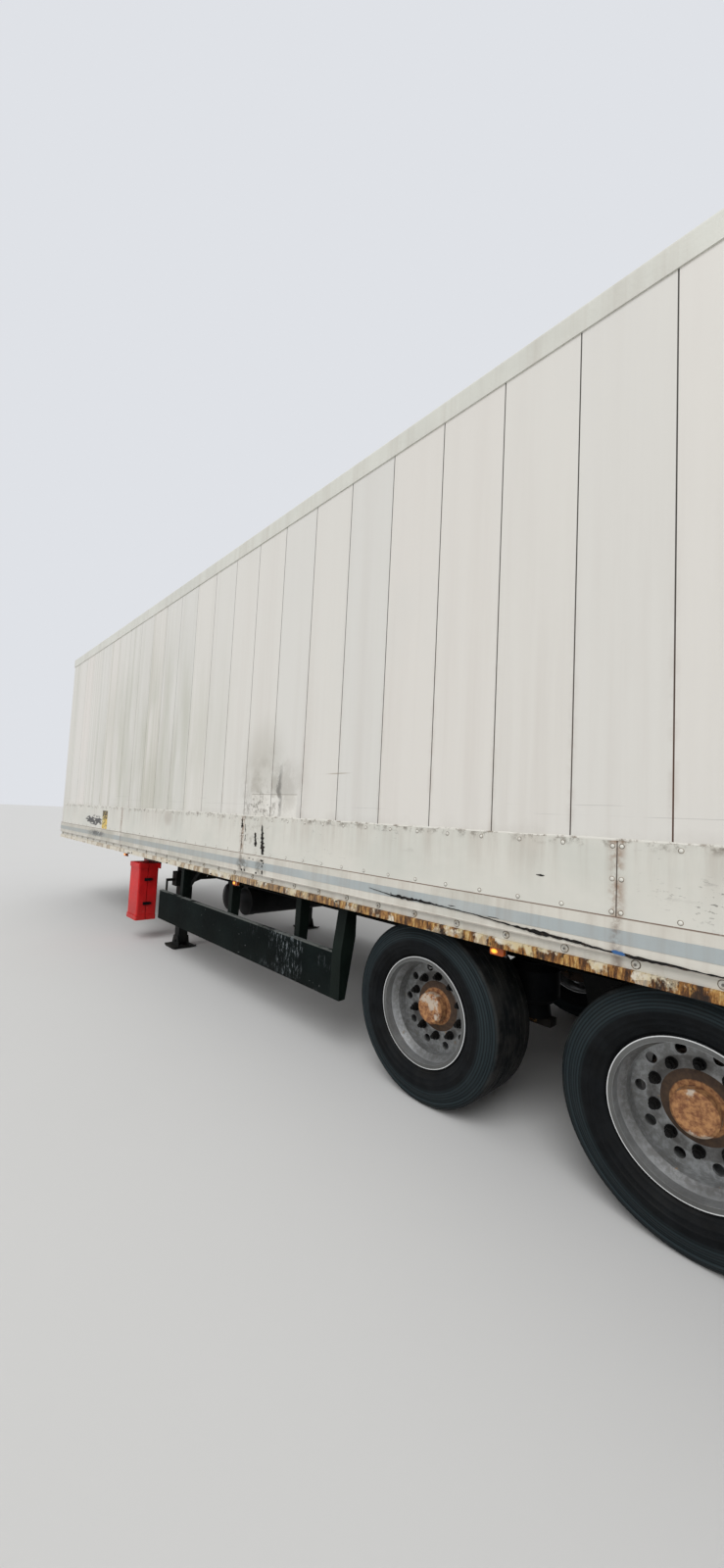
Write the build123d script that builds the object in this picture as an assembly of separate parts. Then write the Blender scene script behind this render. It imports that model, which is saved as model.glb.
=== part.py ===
from build123d import *
from math import cos, radians, sin
import os

# Box semi-trailer on its landing legs. Millimetres, +X forward, +Y left, +Z up.
# The origin is on the ground, midway along and across the trailer.

# Box
BOX_LENGTH = 13600.0
OVERALL_WIDTH = 2550.0
REAR_REACH = 85.0
FRONT_REACH = 60.0
WALL_THICKNESS = 30.0
WALL_INSET = 7.0
FRONT_WALL_THICKNESS = 40.0
ROOF_THICKNESS = 30.0
ROOF_DROP = 8.0

# Heights above the ground
RAIL_BOTTOM = 980.0
EDGE_FLANGE_HEIGHT = 46.0
CHANNEL_HEIGHT = 46.0
RAIL_FACE_HEIGHT = 156.0
KICK_PLATE_HEIGHT = 309.0
WALL_TOP = 3910.0
TOP_RAIL_HEIGHT = 140.0
FLOOR_TOP = 1195.0
SILL_BOTTOM = 1000.0

# Side rails
RAIL_DEPTH = 53.0
CHANNEL_DEPTH = 25.0
STRIPE_BOTTOM = 49.0
STRIPE_HEIGHT = 55.0
STRIPE_INSET = 2.0
EDGE_INSET = 7.0
EDGE_THICKNESS = 8.0

# Wall panels and kick plates, lengths counted back from the front
FRONT_POST_WIDTH = 130.0
PANEL_PITCH = 400.0
SEAM_WIDTH = 5.0
SEAM_DEPTH = 4.0
KICK_PLATE_LENGTH = 3000.0
KICK_PLATE_THICKNESS = 5.0
KICK_PLATE_GAP = 2.0
POST_CORNER_RADIUS = 25.0
TOP_RAIL_DEPTH = 60.0
TOP_RAIL_LIP = 80.0
TOP_RAIL_RADIUS = 24.0

# Floor and chassis
FLOOR_THICKNESS = 38.0
GROOVE_DEPTH = 10.0
GROOVE_PLAY = 0.3
BEAM_INBOARD = 420.0
FLANGE_WIDTH = 130.0
TOP_FLANGE_THICKNESS = 10.0
LOW_FLANGE_THICKNESS = 12.0
WEB_THICKNESS = 10.0
NECK_BOTTOM = 1070.0
BEAM_BOTTOM = 790.0
BEAM_TAIL_BOTTOM = 900.0
BEAM_START = 150.0
NECK_END = 3050.0
NECK_SLOPE_END = 3750.0
TAIL_LENGTH = 900.0
TAIL_SLOPE = 800.0
CROSS_FIRST = 250.0
CROSS_PITCH = 500.0
CROSS_LAST_GAP = 200.0
CROSS_HEIGHT = 70.0
CROSS_WIDTH = 45.0
CROSS_WALL = 6.0
WEB_HOLE_PLAY = 2.0

# Coupling
COUPLER_START = 150.0
COUPLER_END = 2950.0
COUPLER_THICKNESS = 10.0
KINGPIN_AT = 1600.0
KINGPIN_TOP_RADIUS = 36.5
KINGPIN_TOP_HEIGHT = 14.0
KINGPIN_NECK_RADIUS = 25.4
KINGPIN_NECK_HEIGHT = 35.0
KINGPIN_COLLAR_RADIUS = 35.7
KINGPIN_COLLAR_HEIGHT = 35.0

# Running gear
AXLE_AT = (7930.0, 9240.0, 10550.0)
TYRE_INSET = 63.0
TYRE_RADIUS = 498.0
TYRE_HALF_WIDTH = 192.0
TREAD_HALF_WIDTH = 165.0
BEAD_RADIUS = 287.0
RIM_HALF_WIDTH = 149.0
RIM_FLANGE_RADIUS = 298.5
RIM_FLANGE_THICKNESS = 13.0
RIM_SEAT_RADIUS = 285.5
RIM_WELL_RADIUS = 262.0
RIM_WALL = 10.0
DISC_OUT = 10.0
DISC_THICKNESS = 14.0
HUB_RADIUS = 140.0
HUB_IN = -188.0
HUB_OUT = 95.0
HUB_NOSE_RADIUS = 85.0
DRUM_RADIUS = 205.0
SPINDLE_RADIUS = 40.0
SPINDLE_PLAY = 0.1
SPINDLE_OUT = 60.0
AXLE_RADIUS = 64.0
HUB_END_GAP = 8.0

# Trailer stands and guards
LEG_AT = 4150.0
LEG_OUTBOARD = 300.0
LEG_OUTER = 130.0
LEG_INNER = 105.0
LEG_OUTER_BOTTOM = 420.0
FOOT_HALF = 130.0
FOOT_FLAT = 95.0
FOOT_TURN = 14.0
FOOT_THICKNESS = 12.0
FOOT_AXLE = 70.0
FOOT_EAR = 10.0
FOOT_EAR_HALF = 55.0
FOOT_PIN = 14.0
FOOT_PLAY = 1.0
SHAFT_RADIUS = 16.0
SHAFT_Z = 760.0
GUARD_START = 4300.0
GUARD_END = 7205.0
GUARD_TOP = 680.0
GUARD_BOTTOM = 380.0
GUARD_INSET = 30.0
GUARD_RETURN = 40.0
GUARD_WALL = 5.0

# Rear frame and doors
FRAME_DEPTH = 120.0
FRAME_SETBACK = 6.0
POST_WIDTH = 85.0
HEADER_DEPTH = 150.0
DOOR_THICKNESS = 40.0
DOOR_GAP = 10.0
DOOR_HALF_GAP = 5.0
DOOR_END_GAP = 6.0
HINGE_BACK = 25.0
HINGE_INSET = 13.0
HINGE_END = 250.0
HINGE_COUNT = 4
KNUCKLE_RADIUS = 13.0
POST_ROUND = 12.0
KNUCKLE_HALF = 40.0
LUG_GAP = 1.0
LUG_HEIGHT = 16.0
HINGE_PIN_RADIUS = 8.0
HINGE_PLAY = 0.1
BLADE_LENGTH = 230.0
BLADE_THICKNESS = 15.0
ROD_Y = (300.0, 820.0)
ROD_RADIUS = 13.5
ROD_BACK = 28.0
ROD_REACH = 85.0
GUIDE_END = 120.0
GUIDE_COUNT = 4

# Suspension
ARM_PIVOT = 500.0
ARM_EYE = 40.0
PIVOT_RADIUS = 18.0
ARM_FLAT_END = 110.0
ARM_DROP_END = 230.0
ARM_TAIL = 500.0
ARM_THICKNESS = 42.0
ARM_WIDTH = 76.0
HANGER_TOP = 130.0
HANGER_FOOT = 70.0
HANGER_BOTTOM = 545.0
HANGER_GAP = 90.0
HANGER_PLATE = 12.0
BELLOWS_BACK = 370.0
BELLOWS_BOTTOM = 480.0
BELLOWS_RADIUS = 150.0
BELLOWS_SHOULDER = 36.0
PISTON_RADIUS = 105.0
PISTON_NECK = 92.0
PISTON_TOP = 575.0
LOBE_RADIUS = 118.0
LOBE_DROP = 14.0
LOBE_RISE = 20.0
BEAD_PLATE = 6.0
CLAMP_HALF = 90.0
CLAMP_THICKNESS = 12.0
CHAMBER_RADIUS = 76.0
CHAMBER_GAP = 29.0
CHAMBER_BEVEL = 18.0
CHAMBER_START = 95.0
CHAMBER_LENGTH = 150.0
CHAMBER_BAND = 6.0
CHAMBER_BRACKET = 35.0

# Tyre and rim shape
SHOULDER = 18.0
BEAD_SETBACK = 0.3
BEAD_RISE = 1.0
WALL_BULGE_RADIUS = 392.0
SEAT_WIDTH = 38.0
WELL_HALF = 70.0
DRUM_GAP = 22.0
HUB_STEP = 18.0
SPINDLE_END_GAP = 6.0
CAP_CHAMFER = 12.0
HAND_HOLES = 10
HAND_HOLE_RADIUS = 22.0
HAND_HOLE_CIRCLE = 216.0

# Rail lip, coupler edge
RAIL_LIP = 8.0
COUPLER_TURN = 60.0
COUPLER_RISE = 8.0

# Landing gear
LEG_TOP = 1080.0
LEG_PLATE = 8.0
LEG_PLATE_OVERLAP = 3.0
LEG_PLATE_LOW = 720.0
STAY_FOOT = 600.0
STAY_WIDTH = 60.0
STAY_THICKNESS = 10.0
STAY_BACK = 600.0
GEARBOX_HALF = 55.0
GEARBOX_DEPTH = 60.0
GEARBOX_Z = (690.0, 850.0)
CRANK_OUT = 150.0
CRANK_HALF = 14.0
CRANK_THICKNESS = 14.0
CRANK_DROP = 300.0

# Guard hangers: place behind the front, half length
GUARD_BRACKETS = ((4750.0, 30.0), (5750.0, 30.0), (6750.0, 30.0), (7250.0, 45.0))
BRACKET_IN = 155.0
BRACKET_OUT = 75.0
BRACKET_FOOT = 55.0
BRACKET_KNEE = 780.0

# Fire-extinguisher cabinet
CABINET_START = 3400.0
CABINET_END = 3700.0
CABINET_OUT_INSET = 20.0
CABINET_IN_INSET = 245.0
CABINET_SPLIT_INSET = 125.0
CABINET_SPLIT_GAP = 6.0
CABINET_BOTTOM = 240.0
CABINET_TOP = 900.0
CABINET_WALL = 6.0
CABINET_LID = 55.0
CABINET_FOOT = 50.0
CABINET_RIM = 10.0
CABINET_ROUND = 16.0
STRAP_THICKNESS = 10.0
STRAP_REACH = 65.0
STRAP_AHEAD = 165.0
STRAP_OVERLAP = 60.0
CABINET_KNUCKLE = 7.0
CABINET_PIN = 3.0
CABINET_LUGS = ((300.0, 340.0), (800.0, 840.0))
CABINET_HINGE_AHEAD = 9.0

# Locking bars and keepers
CAM_HEIGHT = 34.0
CAM_BACK = 16.0
CAM_FORE = 20.0
CAM_HALF = 20.0
CAM_ROUND = 8.0
KEEPER_OVER = 6.0
KEEPER_OFFSET = 38.0
KEEPER_THICKNESS = 10.0
KEEPER_DEPTH = 45.0
KEEPER_ROUND = 14.0
GUIDE_RADIUS = 21.0
GUIDE_FOOT = 8.0
GUIDE_HALF = 44.0
GUIDE_RISE = 22.0
HANDLE_LENGTH = 190.0
HANDLE_BACK = 24.0
HANDLE_THICKNESS = 14.0
HANDLE_Z = 1560.0
HANDLE_RISE = 34.0
HANDLE_ROUND = 12.0
HANDLE_HUB = 22.0
CATCH_LENGTH = 36.0

# Tanks, underrun bar, lamps and couplings
TANK_AT = (4720.0, 5060.0)
TANK_RADIUS = 140.0
TANK_OVERHANG = 80.0
TANK_END = 45.0
TANK_BAND = 4.0
TANK_Z = 625.0
SADDLE_HALF = 40.0
BUMPER_AHEAD = 5.0
BUMPER_DEPTH = 100.0
BUMPER_INSET = 75.0
BUMPER_ROUND = 15.0
BUMPER_BOTTOM = 430.0
BUMPER_TOP = 550.0
DROP_HALF = 30.0
PANEL_THICKNESS = 12.0
PANEL_HALF = 300.0
PANEL_RISE = 60.0
COUPLINGS_Z = 1330.0
COUPLING_Y = (-220.0, -110.0, 0.0, 110.0, 220.0)
COUPLING_STAGES = ((34.0, 10.0), (24.0, 28.0), (30.0, 10.0))
LAMP_INSET = (345.0, 45.0)
LAMP_Z = (1030.0, 1150.0)
LAMP_DEPTH = 30.0
LAMP_ROUND = 16.0
LENS_COUNT = 3
LENS_RADIUS = 44.0
LENS_RISE = 6.0
BUFFER_HALF = 80.0
BUFFER_ROUND = 22.0
BUFFER_Z = (1005.0, 1095.0)
MARKER_AT = (3150.0, 5890.0, 8440.0, 11190.0)
MARKER_INSET = 53.0
MARKER_PLATE = 4.0
MARKER_HALF = 44.0
MARKER_BOTTOM = 934.0
MARKER_LENS_HALF = 38.0
MARKER_LENS_DEPTH = 26.0
MARKER_LENS_HEIGHT = 36.0
MARKER_LENS_RISE = 5.0
MARKER_ROUND = 8.0
FLAP_BEHIND = 700.0
FLAP_HALF_WIDTH = 190.0
FLAP_BOTTOM = 280.0
FLAP_HALF = 5.0


def spread(first, last, count):
    """Places set evenly from the first to the last."""
    return [first + (last - first) * k / (count - 1) for k in range(count)]


# Derived places
HALF_WIDTH = OVERALL_WIDTH / 2
X_FRONT = (BOX_LENGTH + REAR_REACH + FRONT_REACH) / 2 - FRONT_REACH
X_REAR = X_FRONT - BOX_LENGTH
FRAME_REAR = X_REAR + FRAME_SETBACK
FRAME_FRONT = X_REAR + FRAME_DEPTH
WALL_OUT = HALF_WIDTH - WALL_INSET
WALL_IN = WALL_OUT - WALL_THICKNESS
RAIL_IN = HALF_WIDTH - RAIL_DEPTH
CHANNEL_BOTTOM = RAIL_BOTTOM + EDGE_FLANGE_HEIGHT
FACE_BOTTOM = CHANNEL_BOTTOM + CHANNEL_HEIGHT
RAIL_TOP = FACE_BOTTOM + RAIL_FACE_HEIGHT
TOP = WALL_TOP + TOP_RAIL_HEIGHT
FLOOR_BOTTOM = FLOOR_TOP - FLOOR_THICKNESS
BEAM_TOP = FLOOR_BOTTOM + GROOVE_DEPTH
CROSS_BOTTOM = FLOOR_BOTTOM - CROSS_HEIGHT
COUPLER_BOTTOM = NECK_BOTTOM - COUPLER_THICKNESS
TRACK = OVERALL_WIDTH - 2 * (TYRE_INSET + TYRE_HALF_WIDTH)
BEAM_Y = TRACK / 2 - BEAM_INBOARD
COUPLER_HALF_WIDTH = BEAM_Y + FLANGE_WIDTH / 2
LEG_Y = BEAM_Y + LEG_OUTBOARD
GUARD_OUT = HALF_WIDTH - GUARD_INSET
CABINET_OUT = HALF_WIDTH - CABINET_OUT_INSET
CABINET_IN = HALF_WIDTH - CABINET_IN_INSET
CABINET_SPLIT = HALF_WIDTH - CABINET_SPLIT_INSET
TANK_HALF = BEAM_Y + TANK_OVERHANG
BUMPER_HALF = HALF_WIDTH - BUMPER_INSET
HINGE_X = X_REAR - HINGE_BACK
HINGE_Y = HALF_WIDTH - HINGE_INSET
DOOR_EDGE = HALF_WIDTH - POST_WIDTH - DOOR_GAP
HEADER_BOTTOM = TOP - HEADER_DEPTH
DOOR_BOTTOM = FLOOR_TOP + DOOR_END_GAP
DOOR_TOP = HEADER_BOTTOM - DOOR_END_GAP
ROD_BOTTOM = FLOOR_TOP - ROD_REACH
ROD_TOP = HEADER_BOTTOM + ROD_REACH
PIVOT_Z = TYRE_RADIUS + AXLE_RADIUS + ARM_THICKNESS / 2
HINGE_HEIGHTS = spread(DOOR_BOTTOM + HINGE_END, DOOR_TOP - HINGE_END, HINGE_COUNT)
GUIDE_HEIGHTS = spread(DOOR_BOTTOM + GUIDE_END, DOOR_TOP - GUIDE_END, GUIDE_COUNT)
CABINET_HINGE_X = X_FRONT - CABINET_START + CABINET_HINGE_AHEAD
CABINET_HINGE_Y = CABINET_SPLIT + CABINET_SPLIT_GAP / 2
CROSS_COUNT = int((BOX_LENGTH - FRAME_DEPTH - CROSS_LAST_GAP - CROSS_FIRST) / CROSS_PITCH) + 1
CROSS_AT = [CROSS_FIRST + CROSS_PITCH * k for k in range(CROSS_COUNT)]


def back(distance):
    """X of a place counted back from the front of the box."""
    return X_FRONT - distance


def cross_x(distance):
    """X of the cross member nearest to a distance behind the front."""
    return back(min(CROSS_AT, key=lambda at: abs(at - distance)))


def block(x0, x1, y0, y1, z0, z1):
    """Rectangular solid between two opposite corners."""
    centre = Pos((x0 + x1) / 2, (y0 + y1) / 2, (z0 + z1) / 2)
    return centre * Box(abs(x1 - x0), abs(y1 - y0), abs(z1 - z0))


def along_x(points, x0, x1):
    """Solid with an outline of (y, z) points, from x0 to x1."""
    plane = Plane(origin=(x0, 0, 0), x_dir=(0, 1, 0), z_dir=(1, 0, 0))
    return extrude(plane * make_face(Polyline(*points, close=True)), amount=x1 - x0)


def along_y(points, y0, y1):
    """Solid with an outline of (x, z) points, from y0 to y1."""
    plane = Plane(origin=(0, y1, 0), x_dir=(1, 0, 0), z_dir=(0, -1, 0))
    return extrude(plane * make_face(Polyline(*points, close=True)), amount=y1 - y0)


def along_z(points, z0, z1):
    """Solid with an outline of (x, y) points, from z0 to z1."""
    plane = Plane(origin=(0, 0, z0), x_dir=(1, 0, 0), z_dir=(0, 0, 1))
    return extrude(plane * make_face(Polyline(*points, close=True)), amount=z1 - z0)


def rounded_block(x0, x1, y0, y1, z0, z1, axis, radius):
    """Rectangular solid with its four edges along one axis rounded."""
    solid = block(x0, x1, y0, y1, z0, z1)
    return fillet(solid.edges().filter_by(axis), radius)


def rod_y(radius, x, y0, y1, z):
    """Round bar along Y."""
    return Pos(x, (y0 + y1) / 2, z) * Rot(90, 0, 0) * Cylinder(radius, y1 - y0)


def rod_x(radius, x0, x1, y, z):
    """Round bar along X."""
    return Pos((x0 + x1) / 2, y, z) * Rot(0, 90, 0) * Cylinder(radius, x1 - x0)


def rod_z(radius, x, y, z0, z1):
    """Upright round bar."""
    return Pos(x, y, (z0 + z1) / 2) * Cylinder(radius, z1 - z0)


def other_side(solid):
    """The same piece on the other side of the trailer."""
    return mirror(solid, about=Plane.XZ)


def both(solid):
    """The piece and its mirror image."""
    return [solid, other_side(solid)]


def write(name, solids):
    """Writes one node, a solid or a list of solids that don't touch."""
    shapes = solids if isinstance(solids, list) else [solids]
    flat = [one for shape in shapes for one in shape.solids()]
    export_step(flat[0] if len(flat) == 1 else Compound(flat), f"parts/{name}.step")


def floor_deck():
    """Plank floor, grooved underneath for the main beams' flanges."""
    deck = block(
        FRAME_FRONT, back(FRONT_WALL_THICKNESS), -RAIL_IN, RAIL_IN, FLOOR_BOTTOM, FLOOR_TOP
    )
    groove = FLANGE_WIDTH / 2 + GROOVE_PLAY
    for y in (BEAM_Y, -BEAM_Y):
        deck -= block(
            FRAME_FRONT, back(BEAM_START), y - groove, y + groove, FLOOR_BOTTOM, BEAM_TOP
        )
    return deck


def main_beam():
    """Left I-beam with its neck and its holes for the cross members."""
    low = [
        (back(BEAM_START), NECK_BOTTOM),
        (back(NECK_END), NECK_BOTTOM),
        (back(NECK_SLOPE_END), BEAM_BOTTOM),
        (X_REAR + TAIL_LENGTH + TAIL_SLOPE, BEAM_BOTTOM),
        (X_REAR + TAIL_LENGTH, BEAM_TAIL_BOTTOM),
        (FRAME_FRONT, BEAM_TAIL_BOTTOM),
    ]
    top = [(FRAME_FRONT, BEAM_TOP), (back(BEAM_START), BEAM_TOP)]
    beam = along_y(low + top, BEAM_Y - WEB_THICKNESS / 2, BEAM_Y + WEB_THICKNESS / 2)
    raised = [(x, z + LOW_FLANGE_THICKNESS) for x, z in reversed(low)]
    edges = (BEAM_Y - FLANGE_WIDTH / 2, BEAM_Y + FLANGE_WIDTH / 2)
    beam += along_y(low + raised, *edges)
    beam += block(FRAME_FRONT, back(BEAM_START), *edges, BEAM_TOP - TOP_FLANGE_THICKNESS, BEAM_TOP)
    reach = CROSS_WIDTH / 2 + WEB_HOLE_PLAY
    for at in CROSS_AT:
        beam -= block(
            back(at) - reach,
            back(at) + reach,
            BEAM_Y - WEB_THICKNESS,
            BEAM_Y + WEB_THICKNESS,
            CROSS_BOTTOM - WEB_HOLE_PLAY,
            FLOOR_BOTTOM,
        )
    return beam


def hanger(at):
    """Left hanger of one trailing arm: two plates and the pivot between them."""
    pivot = back(at) + ARM_PIVOT
    outline = [
        (pivot - HANGER_TOP, BEAM_BOTTOM),
        (pivot + HANGER_TOP, BEAM_BOTTOM),
        (pivot + HANGER_FOOT, HANGER_BOTTOM),
        (pivot - HANGER_FOOT, HANGER_BOTTOM),
    ]
    half = HANGER_GAP / 2 + HANGER_PLATE
    bracket = rod_y(PIVOT_RADIUS, pivot, BEAM_Y - half, BEAM_Y + half, PIVOT_Z)
    for y in (BEAM_Y - half, BEAM_Y + HANGER_GAP / 2):
        bracket += along_y(outline, y, y + HANGER_PLATE)
    return bracket


def cross_member(at):
    """Channel section running across under the floor, from rail to rail."""
    x = back(at)
    channel = block(
        x - CROSS_WIDTH / 2, x + CROSS_WIDTH / 2, -RAIL_IN, RAIL_IN, CROSS_BOTTOM, FLOOR_BOTTOM
    )
    return channel - block(
        x - CROSS_WIDTH / 2,
        x + CROSS_WIDTH / 2 - CROSS_WALL,
        -RAIL_IN,
        RAIL_IN,
        CROSS_BOTTOM + CROSS_WALL,
        FLOOR_BOTTOM - CROSS_WALL,
    )


def side_rail():
    """Left rail: cream band, proud stripe, lower band with a lip, and the recessed channel."""
    stripe = FACE_BOTTOM + STRIPE_BOTTOM
    section = [
        (RAIL_IN, CHANNEL_BOTTOM),
        (HALF_WIDTH - CHANNEL_DEPTH, CHANNEL_BOTTOM),
        (HALF_WIDTH - CHANNEL_DEPTH, FACE_BOTTOM),
        (HALF_WIDTH, FACE_BOTTOM),
        (HALF_WIDTH, FACE_BOTTOM + RAIL_LIP),
        (HALF_WIDTH - STRIPE_INSET, FACE_BOTTOM + RAIL_LIP + STRIPE_INSET),
        (HALF_WIDTH - STRIPE_INSET, stripe),
        (HALF_WIDTH, stripe),
        (HALF_WIDTH, stripe + STRIPE_HEIGHT),
        (HALF_WIDTH - STRIPE_INSET, stripe + STRIPE_HEIGHT),
        (HALF_WIDTH - STRIPE_INSET, RAIL_TOP),
        (RAIL_IN, RAIL_TOP),
    ]
    return along_x(section, FRAME_FRONT, X_FRONT)


def rail_edge():
    """Left steel edge flange under the side rail."""
    out = HALF_WIDTH - EDGE_INSET
    section = [
        (RAIL_IN, CHANNEL_BOTTOM - EDGE_THICKNESS),
        (out - EDGE_THICKNESS, CHANNEL_BOTTOM - EDGE_THICKNESS),
        (out - EDGE_THICKNESS, RAIL_BOTTOM),
        (out, RAIL_BOTTOM),
        (out, CHANNEL_BOTTOM),
        (RAIL_IN, CHANNEL_BOTTOM),
    ]
    return along_x(section, FRAME_FRONT, X_FRONT)


def side_wall():
    """Left wall of upright panels, with a seam between each two."""
    start = back(FRONT_POST_WIDTH)
    outline = [(start, WALL_IN), (start, WALL_OUT)]
    seam = back(PANEL_PITCH)
    while seam > FRAME_FRONT + PANEL_PITCH / 4:
        outline += [
            (seam + SEAM_WIDTH / 2, WALL_OUT),
            (seam, WALL_OUT - SEAM_DEPTH),
            (seam - SEAM_WIDTH / 2, WALL_OUT),
        ]
        seam -= PANEL_PITCH
    outline += [(FRAME_FRONT, WALL_OUT), (FRAME_FRONT, WALL_IN)]
    return along_z(outline, RAIL_TOP, WALL_TOP)


def kick_plates():
    """Left row of riveted sheets along the foot of the wall."""
    sheets = []
    start = back(FRONT_POST_WIDTH)
    joint = back(KICK_PLATE_LENGTH)
    while start > FRAME_FRONT:
        end = max(joint, FRAME_FRONT)
        sheets.append(
            block(
                end + KICK_PLATE_GAP / 2,
                start - KICK_PLATE_GAP / 2,
                WALL_OUT,
                WALL_OUT + KICK_PLATE_THICKNESS,
                RAIL_TOP,
                RAIL_TOP + KICK_PLATE_HEIGHT,
            )
        )
        start = end
        joint -= KICK_PLATE_LENGTH
    return sheets


def front_wall():
    """Front wall with its corner posts and the beam at its foot."""
    inner = back(FRONT_WALL_THICKNESS)
    wall = block(inner, X_FRONT, -WALL_OUT, WALL_OUT, RAIL_TOP, WALL_TOP)
    wall += block(inner, X_FRONT, -RAIL_IN, RAIL_IN, NECK_BOTTOM, RAIL_TOP)
    for y0, y1 in ((WALL_IN, WALL_OUT), (-WALL_OUT, -WALL_IN)):
        wall += block(back(FRONT_POST_WIDTH), X_FRONT, y0, y1, RAIL_TOP, WALL_TOP)
    corners = wall.edges().filter_by(Axis.Z).group_by(Axis.X)[-1].sort_by(Axis.Y)
    return fillet([corners[0], corners[-1]], POST_CORNER_RADIUS)


def top_rails():
    """Top rails of both sides, joined by the header over the front wall."""
    shelf = WALL_TOP + TOP_RAIL_LIP
    section = [
        (WALL_IN, WALL_TOP),
        (HALF_WIDTH, WALL_TOP),
        (HALF_WIDTH, TOP),
        (HALF_WIDTH - TOP_RAIL_DEPTH, TOP),
        (HALF_WIDTH - TOP_RAIL_DEPTH, shelf),
        (WALL_IN, shelf),
    ]
    rail = along_x(section, FRAME_FRONT, X_FRONT)
    top_edges = rail.edges().filter_by(Axis.X).group_by(Axis.Z)[-1]
    rail = fillet(top_edges.sort_by(Axis.Y)[-1], TOP_RAIL_RADIUS)
    header = block(back(FRONT_WALL_THICKNESS), X_FRONT, -WALL_IN, WALL_IN, WALL_TOP, TOP)
    return rail + other_side(rail) + header


def roof():
    """Roof panel between the top rails."""
    half = HALF_WIDTH - TOP_RAIL_DEPTH
    top = TOP - ROOF_DROP
    return block(FRAME_FRONT, back(FRONT_WALL_THICKNESS), -half, half, top - ROOF_THICKNESS, top)


def rear_frame():
    """Door frame with the hinge lugs, their pins and the keepers of the locking bars."""
    frame = block(FRAME_REAR, FRAME_FRONT, -HALF_WIDTH, HALF_WIDTH, SILL_BOTTOM, TOP)
    rear_corners = frame.edges().filter_by(Axis.Z).group_by(Axis.X)[0]
    frame = fillet(rear_corners, POST_ROUND)
    inner = HALF_WIDTH - POST_WIDTH
    frame -= block(FRAME_REAR, FRAME_FRONT, -inner, inner, FLOOR_TOP, HEADER_BOTTOM)
    for side in (1, -1):
        y = side * HINGE_Y
        for height in HINGE_HEIGHTS:
            low = height - KNUCKLE_HALF - LUG_GAP
            high = height + KNUCKLE_HALF + LUG_GAP
            for z0, z1 in ((low - LUG_HEIGHT, low), (high, high + LUG_HEIGHT)):
                frame += block(
                    HINGE_X,
                    FRAME_REAR + POST_ROUND,
                    y - KNUCKLE_RADIUS,
                    y + KNUCKLE_RADIUS,
                    z0,
                    z1,
                )
                frame += rod_z(KNUCKLE_RADIUS, HINGE_X, y, z0, z1)
            frame += rod_z(HINGE_PIN_RADIUS, HINGE_X, y, low - LUG_HEIGHT, high + LUG_HEIGHT)
        for rod in ROD_Y:
            for z0 in (ROD_BOTTOM - KEEPER_OVER, ROD_TOP - CAM_HEIGHT - KEEPER_OVER):
                for offset in (-KEEPER_OFFSET, KEEPER_OFFSET):
                    y = side * rod + offset
                    frame += rounded_block(
                        FRAME_REAR - KEEPER_DEPTH,
                        FRAME_REAR + KEEPER_ROUND,
                        y - KEEPER_THICKNESS / 2,
                        y + KEEPER_THICKNESS / 2,
                        z0,
                        z0 + CAM_HEIGHT + 2 * KEEPER_OVER,
                        Axis.Y,
                        KEEPER_ROUND,
                    )
    return frame


def rear_door():
    """Left door leaf with its hinge blades."""
    leaf = block(
        X_REAR, X_REAR + DOOR_THICKNESS, DOOR_HALF_GAP, DOOR_EDGE, DOOR_BOTTOM, DOOR_TOP
    )
    for height in HINGE_HEIGHTS:
        z = (height - KNUCKLE_HALF, height + KNUCKLE_HALF)
        leaf += block(X_REAR - BLADE_THICKNESS, X_REAR, HINGE_Y - BLADE_LENGTH, HINGE_Y, *z)
        leaf += rod_z(KNUCKLE_RADIUS, HINGE_X, HINGE_Y, *z)
        leaf -= rod_z(HINGE_PIN_RADIUS + HINGE_PLAY, HINGE_X, HINGE_Y, *z)
    return leaf


def locking_bar(y, way):
    """Locking bar with its cams, its guides on the door and its handle, turned one way."""
    x = X_REAR - ROD_BACK
    bar = rod_z(ROD_RADIUS, x, y, ROD_BOTTOM, ROD_TOP)
    for z in (ROD_BOTTOM, ROD_TOP - CAM_HEIGHT):
        bar += rounded_block(
            x - CAM_BACK,
            x + CAM_FORE,
            y - CAM_HALF,
            y + CAM_HALF,
            z,
            z + CAM_HEIGHT,
            Axis.Z,
            CAM_ROUND,
        )
    for z in GUIDE_HEIGHTS:
        bar += rod_z(GUIDE_RADIUS, x, y, z - GUIDE_RISE, z + GUIDE_RISE)
        bar += block(
            X_REAR - GUIDE_FOOT,
            X_REAR,
            y - GUIDE_HALF,
            y + GUIDE_HALF,
            z - GUIDE_RISE,
            z + GUIDE_RISE,
        )
    tip = y + way * HANDLE_LENGTH
    z = (HANDLE_Z, HANDLE_Z + HANDLE_RISE)
    grip = (x - HANDLE_BACK, x - HANDLE_BACK + HANDLE_THICKNESS)
    bar += rounded_block(*grip, *sorted((y, tip)), *z, Axis.X, HANDLE_ROUND)
    bar += rod_z(HANDLE_HUB, x, y, *z)
    catch = sorted((tip - way * CATCH_LENGTH, tip))
    return bar + block(grip[1], X_REAR, *catch, *z)


def locking_bars():
    """Left door's two locking bars, their handles pointing at each other."""
    return [locking_bar(y, 1 if y == ROD_Y[0] else -1) for y in ROD_Y]


def coupler_plate():
    """Skid plate under the neck, its front edge turned up."""
    start = back(COUPLER_START)
    section = [
        (back(COUPLER_END), COUPLER_BOTTOM),
        (start - COUPLER_TURN, COUPLER_BOTTOM),
        (start, COUPLER_BOTTOM + COUPLER_RISE),
        (start, NECK_BOTTOM),
        (back(COUPLER_END), NECK_BOTTOM),
    ]
    return along_y(section, -COUPLER_HALF_WIDTH, COUPLER_HALF_WIDTH)


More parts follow.
